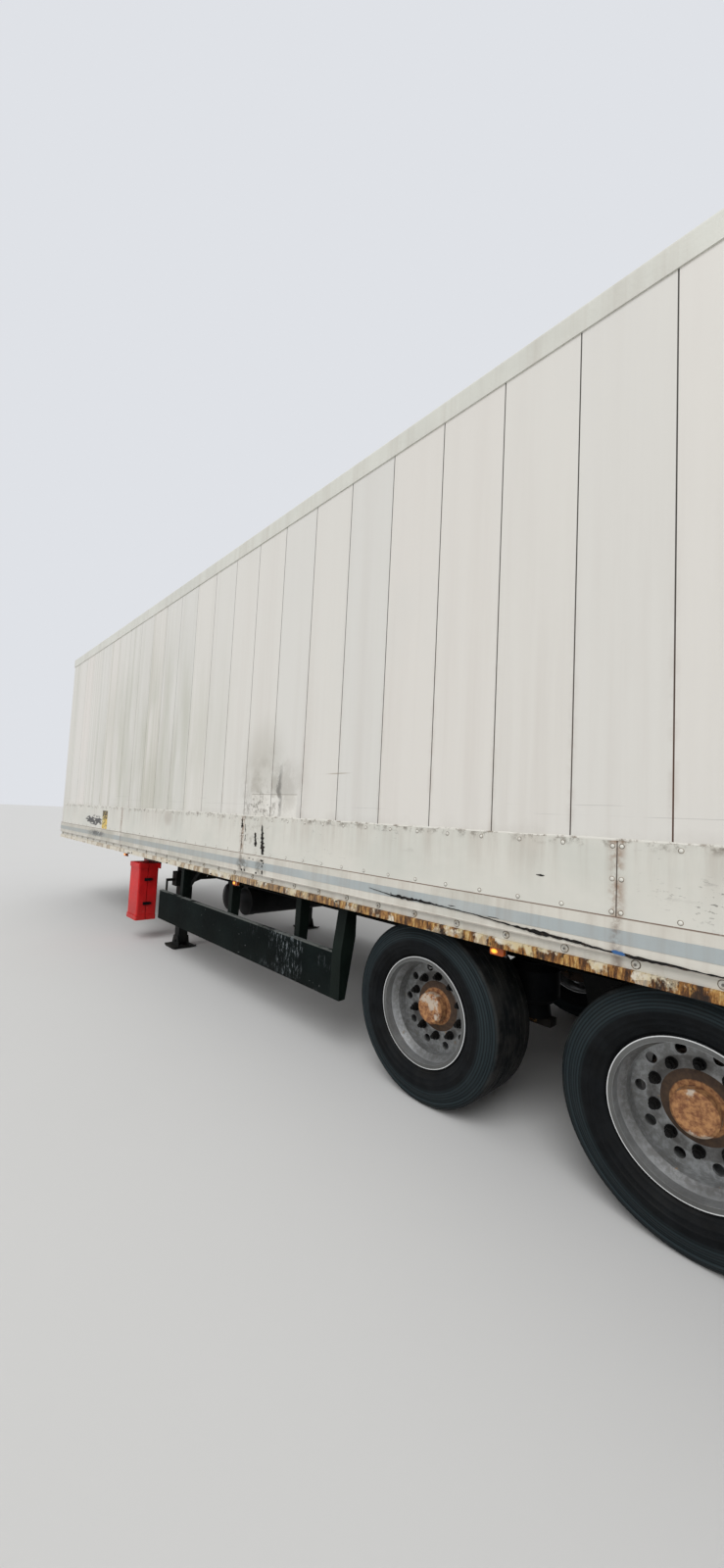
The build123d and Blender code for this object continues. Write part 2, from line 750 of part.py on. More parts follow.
def kingpin():
    """Two-inch kingpin with its upper flange and lower collar."""
    x = back(KINGPIN_AT)
    z = COUPLER_BOTTOM
    stages = (
        (KINGPIN_TOP_RADIUS, KINGPIN_TOP_HEIGHT),
        (KINGPIN_NECK_RADIUS, KINGPIN_NECK_HEIGHT),
        (KINGPIN_COLLAR_RADIUS, KINGPIN_COLLAR_HEIGHT),
    )
    pin = None
    for radius, height in stages:
        stage = rod_z(radius, x, 0, z - height, z)
        pin = stage if pin is None else pin + stage
        z -= height
    return pin


def landing_leg():
    """Left leg wound down on to its foot, with its bracket plates and its stay."""
    x = back(LEG_AT)
    half = LEG_OUTER / 2
    slim = LEG_INNER / 2
    leg = block(x - half, x + half, LEG_Y - half, LEG_Y + half, LEG_OUTER_BOTTOM, LEG_TOP)
    leg += block(x - slim, x + slim, LEG_Y - slim, LEG_Y + slim, FOOT_AXLE, LEG_OUTER_BOTTOM)
    leg += rod_y(slim, x, LEG_Y - slim, LEG_Y + slim, FOOT_AXLE)
    bracket = [
        (BEAM_Y + WEB_THICKNESS / 2, BEAM_BOTTOM + LOW_FLANGE_THICKNESS),
        (LEG_Y - half, LEG_PLATE_LOW),
        (LEG_Y + half, LEG_PLATE_LOW),
        (LEG_Y + half, LEG_TOP),
        (BEAM_Y + WEB_THICKNESS / 2, LEG_TOP),
    ]
    flange = block(
        x - LEG_OUTER,
        x + LEG_OUTER,
        BEAM_Y,
        BEAM_Y + FLANGE_WIDTH / 2,
        BEAM_BOTTOM - LOW_FLANGE_THICKNESS,
        BEAM_BOTTOM + LOW_FLANGE_THICKNESS,
    )
    for x0 in (x - half - LEG_PLATE + LEG_PLATE_OVERLAP, x + half - LEG_PLATE_OVERLAP):
        leg += along_x(bracket, x0, x0 + LEG_PLATE) - flange
    return leg + landing_stay() + landing_foot()


def landing_stay():
    """Flat stay from the left leg back and up to a cross member."""
    foot = (back(LEG_AT) - LEG_OUTER / 2, STAY_FOOT)
    head = (cross_x(LEG_AT + STAY_BACK) - CROSS_WIDTH / 2, CROSS_BOTTOM)
    outline = [
        foot,
        head,
        (head[0] + CROSS_WIDTH, head[1]),
        (foot[0] + LEG_PLATE, foot[1] + STAY_WIDTH),
        (foot[0] + LEG_PLATE, foot[1]),
    ]
    return along_y(outline, LEG_Y - STAY_THICKNESS / 2, LEG_Y + STAY_THICKNESS / 2)


def landing_foot():
    """Rocking foot: a shoe turned up at both ends, two ears and the pin through the leg."""
    x = back(LEG_AT)
    shoe = [
        (x - FOOT_HALF, FOOT_TURN),
        (x - FOOT_FLAT, 0),
        (x + FOOT_FLAT, 0),
        (x + FOOT_HALF, FOOT_TURN),
        (x + FOOT_HALF, FOOT_TURN + FOOT_THICKNESS),
        (x + FOOT_FLAT, FOOT_THICKNESS),
        (x - FOOT_FLAT, FOOT_THICKNESS),
        (x - FOOT_HALF, FOOT_TURN + FOOT_THICKNESS),
    ]
    foot = along_y(shoe, LEG_Y - FOOT_HALF, LEG_Y + FOOT_HALF)
    near = LEG_INNER / 2 + FOOT_PLAY
    ear = [
        (x - FOOT_FLAT, FOOT_THICKNESS),
        (x + FOOT_FLAT, FOOT_THICKNESS),
        (x + FOOT_EAR_HALF, FOOT_AXLE + FOOT_EAR_HALF),
        (x - FOOT_EAR_HALF, FOOT_AXLE + FOOT_EAR_HALF),
    ]
    for y in (LEG_Y - near - FOOT_EAR, LEG_Y + near):
        foot += along_y(ear, y, y + FOOT_EAR)
    reach = near + FOOT_EAR + FOOT_PIN
    return foot + rod_y(FOOT_PIN, x, LEG_Y - reach, LEG_Y + reach, FOOT_AXLE)


def landing_gear():
    """Both legs, the shaft that turns them together, and the crank's gearbox."""
    x = back(LEG_AT)
    inner = LEG_Y - LEG_OUTER / 2
    outer = LEG_Y + LEG_OUTER / 2
    shaft = rod_y(SHAFT_RADIUS, x, -inner, inner, SHAFT_Z)
    crank = block(x - GEARBOX_HALF, x + GEARBOX_HALF, outer, outer + GEARBOX_DEPTH, *GEARBOX_Z)
    crank += rod_y(SHAFT_RADIUS, x, outer + GEARBOX_DEPTH, outer + CRANK_OUT, SHAFT_Z)
    crank += block(
        x - CRANK_HALF,
        x + CRANK_HALF,
        outer + CRANK_OUT - CRANK_THICKNESS,
        outer + CRANK_OUT,
        SHAFT_Z - CRANK_DROP,
        SHAFT_Z + CRANK_HALF,
    )
    return [*both(landing_leg()), shaft, crank]


def side_guard():
    """Left guard panel, a channel with its returns inward."""
    inner = GUARD_OUT - GUARD_RETURN
    section = [
        (GUARD_OUT, GUARD_BOTTOM),
        (GUARD_OUT, GUARD_TOP),
        (inner, GUARD_TOP),
        (inner, GUARD_TOP - GUARD_WALL),
        (GUARD_OUT - GUARD_WALL, GUARD_TOP - GUARD_WALL),
        (GUARD_OUT - GUARD_WALL, GUARD_BOTTOM + GUARD_WALL),
        (inner, GUARD_BOTTOM + GUARD_WALL),
        (inner, GUARD_BOTTOM),
    ]
    return along_x(section, back(GUARD_END), back(GUARD_START))


def guard_brackets():
    """Left hangers of the guard, from cross members down to the panel."""
    inner = GUARD_OUT - GUARD_RETURN
    brackets = []
    for at, half in GUARD_BRACKETS:
        x = back(at)
        out = inner if at < GUARD_END else GUARD_OUT
        section = [
            (HALF_WIDTH - BRACKET_IN, CROSS_BOTTOM),
            (HALF_WIDTH - BRACKET_OUT, CROSS_BOTTOM),
            (HALF_WIDTH - BRACKET_OUT, RAIL_BOTTOM),
            (out, GUARD_TOP),
            (out, GUARD_BOTTOM),
            (out - BRACKET_FOOT, GUARD_BOTTOM),
            (HALF_WIDTH - BRACKET_IN, BRACKET_KNEE),
        ]
        brackets.append(along_x(section, x - half, x + half))
    return brackets


def cabinet_tier(x0, x1, y_open, y_closed, z0, z1):
    """Block whose two upright edges on the closed side are rounded."""
    tier = block(x0, x1, *sorted((y_open, y_closed)), z0, z1)
    rows = tier.edges().filter_by(Axis.Z).group_by(Axis.Y)
    return fillet(rows[-1] if y_closed > y_open else rows[0], CABINET_ROUND)


def cabinet_half(y_open, y_closed, rim):
    """Half of the cabinet, hollow from its open side: body, lid and flared foot."""
    x0, x1 = back(CABINET_END), back(CABINET_START)
    half = cabinet_tier(x0, x1, y_open, y_closed, CABINET_BOTTOM, CABINET_TOP)
    for z0, z1 in (
        (CABINET_BOTTOM, CABINET_BOTTOM + CABINET_FOOT),
        (CABINET_TOP - CABINET_LID, CABINET_TOP),
    ):
        half += cabinet_tier(x0 - CABINET_RIM, x1, y_open, y_closed + rim, z0, z1)
    inward = -CABINET_WALL if y_closed > y_open else CABINET_WALL
    return half - block(
        x0 + CABINET_WALL,
        x1 - CABINET_WALL,
        *sorted((y_open, y_closed + inward)),
        CABINET_BOTTOM + CABINET_WALL,
        CABINET_TOP - CABINET_WALL,
    )


def cabinet_body():
    """Back half of the fire-extinguisher cabinet, open outward, with its hinge lugs."""
    x0, x1 = back(CABINET_END), back(CABINET_START)
    body = cabinet_half(CABINET_SPLIT, CABINET_IN, 0)
    body += block(
        x0 - STRAP_REACH,
        x1 + STRAP_AHEAD,
        CABINET_IN,
        CABINET_IN + STRAP_THICKNESS,
        CABINET_TOP - STRAP_OVERLAP,
        CROSS_BOTTOM,
    )
    for z0, z1 in CABINET_LUGS:
        body += rod_z(CABINET_KNUCKLE, CABINET_HINGE_X, CABINET_HINGE_Y, z0, z1)
        body += block(
            x1 - CABINET_WALL,
            CABINET_HINGE_X,
            CABINET_HINGE_Y - CABINET_KNUCKLE,
            CABINET_SPLIT,
            z0,
            z1,
        )
    return body + rod_z(
        CABINET_PIN, CABINET_HINGE_X, CABINET_HINGE_Y, CABINET_LUGS[0][0], CABINET_LUGS[1][1]
    )


def cabinet_cover():
    """Hinged outer half of the cabinet."""
    x1 = back(CABINET_START)
    y0 = CABINET_SPLIT + CABINET_SPLIT_GAP
    cover = cabinet_half(y0, CABINET_OUT, CABINET_RIM)
    z0 = CABINET_LUGS[0][1] + LUG_GAP
    z1 = CABINET_LUGS[1][0] - LUG_GAP
    cover += block(
        x1 - CABINET_WALL, CABINET_HINGE_X, CABINET_HINGE_Y, y0 + CABINET_WALL, z0, z1
    )
    cover += rod_z(CABINET_KNUCKLE, CABINET_HINGE_X, CABINET_HINGE_Y, z0, z1)
    return cover - rod_z(CABINET_PIN + HINGE_PLAY, CABINET_HINGE_X, CABINET_HINGE_Y, z0, z1)


def turned(outline, x, y, z, side):
    """Solid turned about an axle line; the outline's edges hold (radius, outward) places."""
    plane = Plane(origin=(x, y, z), x_dir=(1, 0, 0), z_dir=(0, 0, side))
    return revolve(plane * make_face(outline), Axis((x, y, z), (0, 1, 0)))


def tyre(x, side):
    """Single wide tyre: seat on the rim, bulging walls as arcs, shoulders and tread."""
    seat = RIM_HALF_WIDTH - BEAD_SETBACK
    heel = (BEAD_RADIUS, seat)
    toe = (RIM_FLANGE_RADIUS + BEAD_RISE, seat)
    shoulder = (TYRE_RADIUS - SHOULDER, TREAD_HALF_WIDTH)
    tread = (TYRE_RADIUS, TREAD_HALF_WIDTH - SHOULDER)
    wall = Line(heel, toe)
    wall += ThreePointArc(toe, (WALL_BULGE_RADIUS, TYRE_HALF_WIDTH), shoulder)
    wall += Line(shoulder, tread)
    outline = wall + mirror(wall, about=Plane.XZ)
    outline += Line((heel[0], -heel[1]), heel)
    outline += Line(tread, (tread[0], -tread[1]))
    return turned(outline, x, side * TRACK / 2, TYRE_RADIUS, side)


def wheel(x, side):
    """Deep-dished rim, disc with its hand holes, hub and drum, bored for the spindle."""
    edge = RIM_HALF_WIDTH
    disc = DISC_OUT - DISC_THICKNESS
    profile = [
        (SPINDLE_RADIUS + SPINDLE_PLAY, HUB_IN),
        (DRUM_RADIUS, HUB_IN),
        (DRUM_RADIUS, disc - DRUM_GAP),
        (HUB_RADIUS, disc - DRUM_GAP),
        (HUB_RADIUS, disc),
        (RIM_WELL_RADIUS - RIM_WALL, disc),
        (RIM_WELL_RADIUS - RIM_WALL, -WELL_HALF),
        (RIM_SEAT_RADIUS - RIM_WALL, -edge + SEAT_WIDTH),
        (RIM_SEAT_RADIUS - RIM_WALL, -edge - RIM_FLANGE_THICKNESS),
        (RIM_FLANGE_RADIUS, -edge - RIM_FLANGE_THICKNESS),
        (RIM_FLANGE_RADIUS, -edge),
        (RIM_SEAT_RADIUS, -edge),
        (RIM_SEAT_RADIUS, -edge + SEAT_WIDTH),
        (RIM_WELL_RADIUS, -WELL_HALF),
        (RIM_WELL_RADIUS, WELL_HALF),
        (RIM_SEAT_RADIUS, edge - SEAT_WIDTH),
        (RIM_SEAT_RADIUS, edge),
        (RIM_FLANGE_RADIUS, edge),
        (RIM_FLANGE_RADIUS, edge + RIM_FLANGE_THICKNESS),
        (RIM_SEAT_RADIUS - RIM_WALL, edge + RIM_FLANGE_THICKNESS),
        (RIM_SEAT_RADIUS - RIM_WALL, edge - SEAT_WIDTH),
        (RIM_WELL_RADIUS - RIM_WALL, WELL_HALF),
        (RIM_WELL_RADIUS - RIM_WALL, DISC_OUT),
        (HUB_RADIUS, DISC_OUT),
        (HUB_NOSE_RADIUS, DISC_OUT + HUB_STEP),
        (HUB_NOSE_RADIUS, HUB_OUT - CAP_CHAMFER),
        (HUB_NOSE_RADIUS - CAP_CHAMFER, HUB_OUT),
        (0, HUB_OUT),
        (0, SPINDLE_OUT + SPINDLE_END_GAP),
        (SPINDLE_RADIUS + SPINDLE_PLAY, SPINDLE_OUT + SPINDLE_END_GAP),
    ]
    y = side * TRACK / 2
    whole = turned(Polyline(*profile, close=True), x, y, TYRE_RADIUS, side)
    faces = sorted((y + side * disc, y + side * DISC_OUT))
    for number in range(HAND_HOLES):
        angle = radians(360 * number / HAND_HOLES)
        whole -= rod_y(
            HAND_HOLE_RADIUS,
            x + HAND_HOLE_CIRCLE * cos(angle),
            *faces,
            TYRE_RADIUS + HAND_HOLE_CIRCLE * sin(angle),
        )
    return whole


def brake_chamber(x):
    """Left brake chamber ahead of the axle, on its bracket."""
    y = TRACK / 2 + HUB_IN - CHAMBER_GAP - CHAMBER_RADIUS
    start = x + CHAMBER_START
    middle = start + CHAMBER_LENGTH / 2
    chamber = rod_x(CHAMBER_RADIUS, start, start + CHAMBER_LENGTH, y, TYRE_RADIUS)
    chamber = chamfer(chamber.edges(), CHAMBER_BEVEL)
    chamber += rod_x(
        CHAMBER_RADIUS + CHAMBER_BAND, middle - CHAMBER_BAND, middle + CHAMBER_BAND, y, TYRE_RADIUS
    )
    return chamber + block(
        x,
        start + CHAMBER_BEVEL,
        y - CHAMBER_BRACKET,
        y + CHAMBER_BRACKET,
        TYRE_RADIUS - CHAMBER_BRACKET,
        TYRE_RADIUS + CHAMBER_BRACKET,
    )


def axle(at):
    """Axle beam with a spindle at each end, lower clamp plates and brake chambers."""
    x = back(at)
    tip = TRACK / 2 + SPINDLE_OUT
    half = TRACK / 2 + HUB_IN - HUB_END_GAP
    beam = rod_y(AXLE_RADIUS, x, -half, half, TYRE_RADIUS)
    beam += rod_y(SPINDLE_RADIUS, x, -tip, tip, TYRE_RADIUS)
    foot = TYRE_RADIUS - AXLE_RADIUS
    clamp = block(
        x - CLAMP_HALF,
        x + CLAMP_HALF,
        BEAM_Y - ARM_WIDTH / 2,
        BEAM_Y + ARM_WIDTH / 2,
        foot - CLAMP_THICKNESS,
        foot + CLAMP_THICKNESS / 2,
    )
    for piece in both(clamp) + both(brake_chamber(x)):
        beam += piece
    return beam


def trailing_arm(at):
    """Left arm from its pivot over the axle to the air spring's seat."""
    x = back(at)
    saddle = TYRE_RADIUS + AXLE_RADIUS
    outline = [
        (x + ARM_PIVOT, saddle),
        (x - ARM_FLAT_END, saddle),
        (x - ARM_DROP_END, BELLOWS_BOTTOM - ARM_THICKNESS),
        (x - ARM_TAIL, BELLOWS_BOTTOM - ARM_THICKNESS),
        (x - ARM_TAIL, BELLOWS_BOTTOM),
        (x - ARM_DROP_END, BELLOWS_BOTTOM),
        (x - ARM_FLAT_END, saddle + ARM_THICKNESS),
        (x + ARM_PIVOT, saddle + ARM_THICKNESS),
    ]
    edges = (BEAM_Y - ARM_WIDTH / 2, BEAM_Y + ARM_WIDTH / 2)
    arm = along_y(outline, *edges)
    arm += block(
        x - CLAMP_HALF,
        x + CLAMP_HALF,
        *edges,
        saddle + ARM_THICKNESS,
        saddle + ARM_THICKNESS + CLAMP_THICKNESS,
    )
    arm += rod_y(ARM_EYE, x + ARM_PIVOT, *edges, PIVOT_Z)
    return arm - rod_y(PIVOT_RADIUS + HINGE_PLAY, x + ARM_PIVOT, *edges, PIVOT_Z)


def air_spring(at):
    """Left air spring: tapered piston, rolling lobe, bellows and bead plate."""
    x = back(at) - BELLOWS_BACK
    plate = BEAM_BOTTOM - BEAD_PLATE
    outline = Polyline(
        (0, BELLOWS_BOTTOM),
        (PISTON_RADIUS, BELLOWS_BOTTOM),
        (PISTON_NECK, PISTON_TOP),
        (LOBE_RADIUS, PISTON_TOP - LOBE_DROP),
        (BELLOWS_RADIUS, PISTON_TOP + LOBE_RISE),
        (BELLOWS_RADIUS, plate - BELLOWS_SHOULDER),
        (PISTON_RADIUS, plate),
        (PISTON_RADIUS, BEAM_BOTTOM),
        (0, BEAM_BOTTOM),
        close=True,
    )
    plane = Plane(origin=(x, BEAM_Y, 0), x_dir=(1, 0, 0), z_dir=(0, -1, 0))
    return revolve(plane * make_face(outline), Axis((x, BEAM_Y, 0), (0, 0, 1)))


def air_tank(at):
    """Air tank with dished ends, lying across under the beams in its two saddles."""
    x = back(at)
    end = TANK_HALF - TANK_END
    dish = TangentArc((0, TANK_HALF), (TANK_RADIUS, end), tangent=(1, 0))
    outline = dish + mirror(dish, about=Plane.XZ)
    outline += Line((TANK_RADIUS, end), (TANK_RADIUS, -end))
    outline += Line((0, -TANK_HALF), (0, TANK_HALF))
    tank = turned(outline, x, 0, TANK_Z, 1)
    for y in (BEAM_Y, -BEAM_Y):
        tank += rod_y(TANK_RADIUS + TANK_BAND, x, y - SADDLE_HALF, y + SADDLE_HALF, TANK_Z)
        tank += block(
            x - SADDLE_HALF, x + SADDLE_HALF, y - SADDLE_HALF, y + SADDLE_HALF, TANK_Z, BEAM_BOTTOM
        )
    return tank


def rear_bumper():
    """Underrun bar with its two drop brackets."""
    x0 = FRAME_FRONT + BUMPER_AHEAD
    bar = rounded_block(
        x0,
        x0 + BUMPER_DEPTH,
        -BUMPER_HALF,
        BUMPER_HALF,
        BUMPER_BOTTOM,
        BUMPER_TOP,
        Axis.Y,
        BUMPER_ROUND,
    )
    for y in (BEAM_Y, -BEAM_Y):
        bar += block(
            x0,
            x0 + BUMPER_DEPTH,
            y - DROP_HALF,
            y + DROP_HALF,
            BUMPER_TOP - BUMPER_ROUND,
            BEAM_TAIL_BOTTOM,
        )
    return bar


def rear_lamp():
    """Left lamp cluster with its three round lenses."""
    y0, y1 = (HALF_WIDTH - inset for inset in LAMP_INSET)
    lamp = rounded_block(
        FRAME_REAR - LAMP_DEPTH, FRAME_REAR, y0, y1, *LAMP_Z, Axis.X, LAMP_ROUND
    )
    middle = sum(LAMP_Z) / 2
    for y in spread(y0 + LENS_RADIUS + LENS_RISE, y1 - LENS_RADIUS - LENS_RISE, LENS_COUNT):
        lamp += rod_x(LENS_RADIUS, FRAME_REAR - LAMP_DEPTH - LENS_RISE, FRAME_REAR, y, middle)
    return lamp


def rear_buffer():
    """Left rubber buffer, rounded where it meets the dock."""
    buffer = block(
        X_REAR - REAR_REACH, FRAME_REAR, BEAM_Y - BUFFER_HALF, BEAM_Y + BUFFER_HALF, *BUFFER_Z
    )
    rear_edges = buffer.faces().sort_by(Axis.X)[0].edges()
    return fillet(rear_edges, BUFFER_ROUND)


def side_marker(at):
    """Left marker lamp: a lens on a plate hung from the rail's edge."""
    x = back(at)
    y = HALF_WIDTH - MARKER_INSET
    plate = block(
        x - MARKER_HALF,
        x + MARKER_HALF,
        y,
        y + MARKER_PLATE,
        MARKER_BOTTOM,
        CHANNEL_BOTTOM - EDGE_THICKNESS,
    )
    z0 = MARKER_BOTTOM + MARKER_LENS_RISE
    return plate + rounded_block(
        x - MARKER_LENS_HALF,
        x + MARKER_LENS_HALF,
        y,
        y + MARKER_LENS_DEPTH,
        z0,
        z0 + MARKER_LENS_HEIGHT,
        Axis.Y,
        MARKER_ROUND,
    )


def mud_flap():
    """Left flap, hung from a cross member behind the last axle."""
    x = cross_x(AXLE_AT[-1] + FLAP_BEHIND)
    return block(
        x - FLAP_HALF,
        x + FLAP_HALF,
        TRACK / 2 - FLAP_HALF_WIDTH,
        TRACK / 2 + FLAP_HALF_WIDTH,
        FLAP_BOTTOM,
        CROSS_BOTTOM,
    )


def front_couplings():
    """Panel on the front wall with the sockets for air and electric lines."""
    x0 = X_FRONT
    z = (COUPLINGS_Z - PANEL_RISE, COUPLINGS_Z + PANEL_RISE)
    panel = block(x0, x0 + PANEL_THICKNESS, -PANEL_HALF, PANEL_HALF, *z)
    for y in COUPLING_Y:
        start = x0 + PANEL_THICKNESS
        for radius, length in COUPLING_STAGES:
            panel += rod_x(radius, start, start + length, y, COUPLINGS_Z)
            start += length
    return panel


os.makedirs("parts", exist_ok=True)

write("floor_deck", floor_deck())
write("main_beams", both(main_beam()))
write("suspension_hangers", [piece for at in AXLE_AT for piece in both(hanger(at))])
write("cross_members", [cross_member(at) for at in CROSS_AT])
write("side_rails", both(side_rail()))
write("rail_edges", both(rail_edge()))
write("side_wall_left", side_wall())
write("side_wall_right", other_side(side_wall()))
write("kick_plates", [piece for sheet in kick_plates() for piece in both(sheet)])
write("front_wall", front_wall())
write("top_rails", top_rails())
write("roof", roof())
write("rear_frame", rear_frame())
write("rear_door_left", rear_door())
write("rear_door_right", other_side(rear_door()))
write("locking_bars_left", locking_bars())
write("locking_bars_right", [other_side(bar) for bar in locking_bars()])
write("coupler", coupler_plate() + kingpin())
write("landing_gear", landing_gear())
write("side_guards", both(side_guard()))
write("guard_brackets", [piece for bracket in guard_brackets() for piece in both(bracket)])
write("fire_cabinet", cabinet_body())
write("fire_cabinet_cover", cabinet_cover())
write("axles", [axle(at) for at in AXLE_AT])
write("trailing_arms", [arm for at in AXLE_AT for arm in both(trailing_arm(at))])
write("air_springs", [spring for at in AXLE_AT for spring in both(air_spring(at))])
write("air_tanks", [air_tank(at) for at in TANK_AT])
write("rear_bumper", rear_bumper())
write("front_couplings", front_couplings())
write("rear_lamps", both(rear_lamp()))
write("rear_buffers", both(rear_buffer()))
write("side_markers", [piece for at in MARKER_AT for piece in both(side_marker(at))])
write("mud_flaps", both(mud_flap()))
for number, at in enumerate(AXLE_AT, 1):
    for label, side in (("left", 1), ("right", -1)):
        write(f"tyre_{number}_{label}", tyre(back(at), side))
        write(f"wheel_{number}_{label}", wheel(back(at), side))
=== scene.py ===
import math
import random

import bmesh
import bpy
from bpy.props import FloatProperty, FloatVectorProperty, IntProperty, PointerProperty
from mathutils import Matrix, Vector


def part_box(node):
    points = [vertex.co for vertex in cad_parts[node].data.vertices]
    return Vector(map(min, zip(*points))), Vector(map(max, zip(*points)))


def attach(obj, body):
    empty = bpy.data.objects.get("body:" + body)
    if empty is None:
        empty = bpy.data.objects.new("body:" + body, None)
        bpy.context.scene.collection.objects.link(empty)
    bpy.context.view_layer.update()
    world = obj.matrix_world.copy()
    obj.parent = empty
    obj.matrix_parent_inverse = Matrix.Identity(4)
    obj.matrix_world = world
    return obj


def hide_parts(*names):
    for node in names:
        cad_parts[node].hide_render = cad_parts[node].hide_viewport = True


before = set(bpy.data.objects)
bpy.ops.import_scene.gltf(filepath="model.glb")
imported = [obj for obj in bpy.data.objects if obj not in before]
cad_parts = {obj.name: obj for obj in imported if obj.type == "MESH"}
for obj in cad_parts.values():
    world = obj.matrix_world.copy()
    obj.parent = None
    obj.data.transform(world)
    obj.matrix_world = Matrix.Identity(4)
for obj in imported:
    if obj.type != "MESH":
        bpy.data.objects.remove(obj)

bl_info = {
    "name": "Box semi-trailer",
    "version": (1, 0, 0),
    "blender": (4, 5, 0),
    "location": "3D View > Sidebar > Trailer",
    "description": "Finishes, fasteners, tyres and wear of a box semi-trailer",
    "category": "Object",
}

# Corners of the frame's pieces, metres, +X forward, +Y left, +Z up
WALL_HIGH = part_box("side_wall_left")[1]
KICK_LOW, KICK_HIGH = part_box("kick_plates")
RAIL_LOW, RAIL_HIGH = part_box("side_rails")
EDGE_LOW, EDGE_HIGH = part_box("rail_edges")
FRAME_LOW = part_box("rear_frame")[0]
FRONT_LOW, FRONT_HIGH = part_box("front_wall")
GUARD_LOW, GUARD_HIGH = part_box("side_guards")
DOOR_LOW, DOOR_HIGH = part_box("rear_door_left")
COVER_LOW, COVER_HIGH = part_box("fire_cabinet_cover")
X_FRONT = RAIL_HIGH.x
SIDES = (("left", 1), ("right", -1))
AXLES = (1, 2, 3)

# Places and sizes that the frame's boxes don't give
PANEL_PITCH = 0.4
SHEET_LENGTH = 3.0
ROOF_PITCH = 1.2
FRONT_SHEET = 0.62
CHANNEL_FACE = 1.25
FACE_LOW = 1.072
STRIPE_LOW, STRIPE_HIGH = 1.121, 1.176
WASHERS_FROM = 0.08
MARKERS_AT = (3.15, 5.89, 8.44, 11.19)
MARKER_FACE = 1.227
DOOR_FACE = FRAME_LOW.x + 0.039
DOOR_EDGE = 1.18
DOOR_HALF_GAP = 0.005
BLADE_THICKNESS = 0.015
HINGE_BOLTS = (0.10, 0.155, 0.21)
HINGES_AT = [DOOR_LOW.z + 0.25 + (DOOR_HIGH.z - DOOR_LOW.z - 0.5) * step / 3 for step in range(4)]
CABINET_RIM = 0.010
CLAMP_Y, CLAMP_FOOT = 0.6, 0.422
CLAMP_ALONG, CLAMP_ACROSS = 0.065, 0.022
LAMP_FACE = FRAME_LOW.x + 0.015
AMBER_LENS = (1.032, 1.128)
SCRATCHES_ABOVE_KICK = (0.10, 0.145)
# How far a piece that lies on a surface reaches into it
SUNK = 0.001
# Edges that bend by more than this stay sharp, radians
SHARP_ANGLE = 0.6

# Rivets: rows from a kick plate's top and foot, pairs beside the front wall's seams
ROW_FROM_TOP, ROW_FROM_FOOT = 0.022, 0.017
FRONT_SEAMS = (-1.5, -0.5, 0.5, 1.5)
FRONT_RIVETS = 24
BESIDE_SEAM, FROM_SEAM_END = 0.02, 0.05

# Cabinet latches: reach out of the side and into it, from and to across the split
LATCHES_AT = (0.43, 0.71)
STRAP, STRAP_TONGUE = (0.009, -0.001, 0.006, 0.045), (0.009, 0.003, -0.034, 0.006)
KEEPER = (0.010, -0.001, -0.050, -0.038)
STRAP_HALF, KEEPER_HALF = 0.017, 0.012

# Door rubber and sealant
SEAL_INSET, SEAL_WIDTH, SEAL_RISE = 0.003, 0.016, 0.004
SEALANT_STEPS = 560

# Side markers: foot and top of the lens; the glow's place forward of the middle,
# then its height, half length and half height
MARKER_LENS = (0.939, 0.975)
GLOW_FORWARD = 0.014
GLOW = (0.957, 0.024, 0.015)

# Rings of a wheel and its tyre by radius
HUB_FOOT, HUB_RIM = (0.100, 0.106), (0.141, 0.139)
NUT_RING, HAND_HOLES = (0.140, 0.186), (0.16, 0.262)
DRUM_RIM = (0.215, 0.208)
# Rim: the face that gets painted shade and the edge that gets a painted highlight
RIM_SHADED_FACE, RIM_HIGHLIGHT = (0.2775, 0.2930), (0.2940, 0.2965)
CHIPPED_RIM = (0.288, 0.262)
# Sidewall band that gets rings of painted sheen, and the half pitch of those rings
TYRE_SHEEN_RINGS, SHEEN_RING_HALF_PITCH = (0.415, 0.474), 0.0065
TREAD_SIDE = (0.475, 0.492)

# Tyre: the bead by radius and distance from the middle, the shoulder by radius and
# distance in from the widest place
BEAD =((0.287, 0.1487), (0.3005, 0.1487), (0.3030, 0.163))
SIDEWALL_FROM, SIDEWALL_TO = 0.306, 0.452
SIDEWALL_STEPS = 34
SIDEWALL_BULGE = 0.028
TREAD_INSET, TREAD_DROP = 0.040, 0.003
SHOULDER = ((0.462, 0.022), (0.466, 0.0195), (0.474, 0.024), (0.480, 0.029), (0.4835, 0.0275))

# Damage to the left side; distances count back from the front of the box
# Tears of the kick plates: distance and height of the top, of the foot, half width
TEARS = (
    (5.990, 1.522, 5.998, 1.430, 0.0170),
    (5.999, 1.415, 6.002, 1.250, 0.0060),
    (6.050, 1.475, 6.057, 1.400, 0.0060),
    (6.059, 1.385, 6.053, 1.325, 0.0080),
    (6.208, 1.412, 6.230, 1.288, 0.0195),
    (6.306, 1.480, 6.336, 1.230, 0.0260),
)
# Marks knocked into the rail, and dents in the flange drawn as dark blobs of painted shadow: distance,
# height, half length, half height
RAIL_MARKS = (
    (6.030, 1.089, 0.012, 0.013),
    (6.075, 1.091, 0.009, 0.014),
    (6.255, 1.086, 0.013, 0.011),
    (6.342, 1.100, 0.011, 0.020),
    (6.338, 1.148, 0.008, 0.014),
    (6.330, 1.192, 0.032, 0.008),
    (6.140, 1.196, 0.016, 0.004),
    (6.200, 1.190, 0.012, 0.004),
    (6.355, 1.174, 0.010, 0.008),
    (7.744, 1.134, 0.005, 0.017),
    (8.180, 1.139, 0.030, 0.003),
    (8.430, 1.123, 0.045, 0.002),
    (9.500, 1.088, 0.035, 0.003),
)
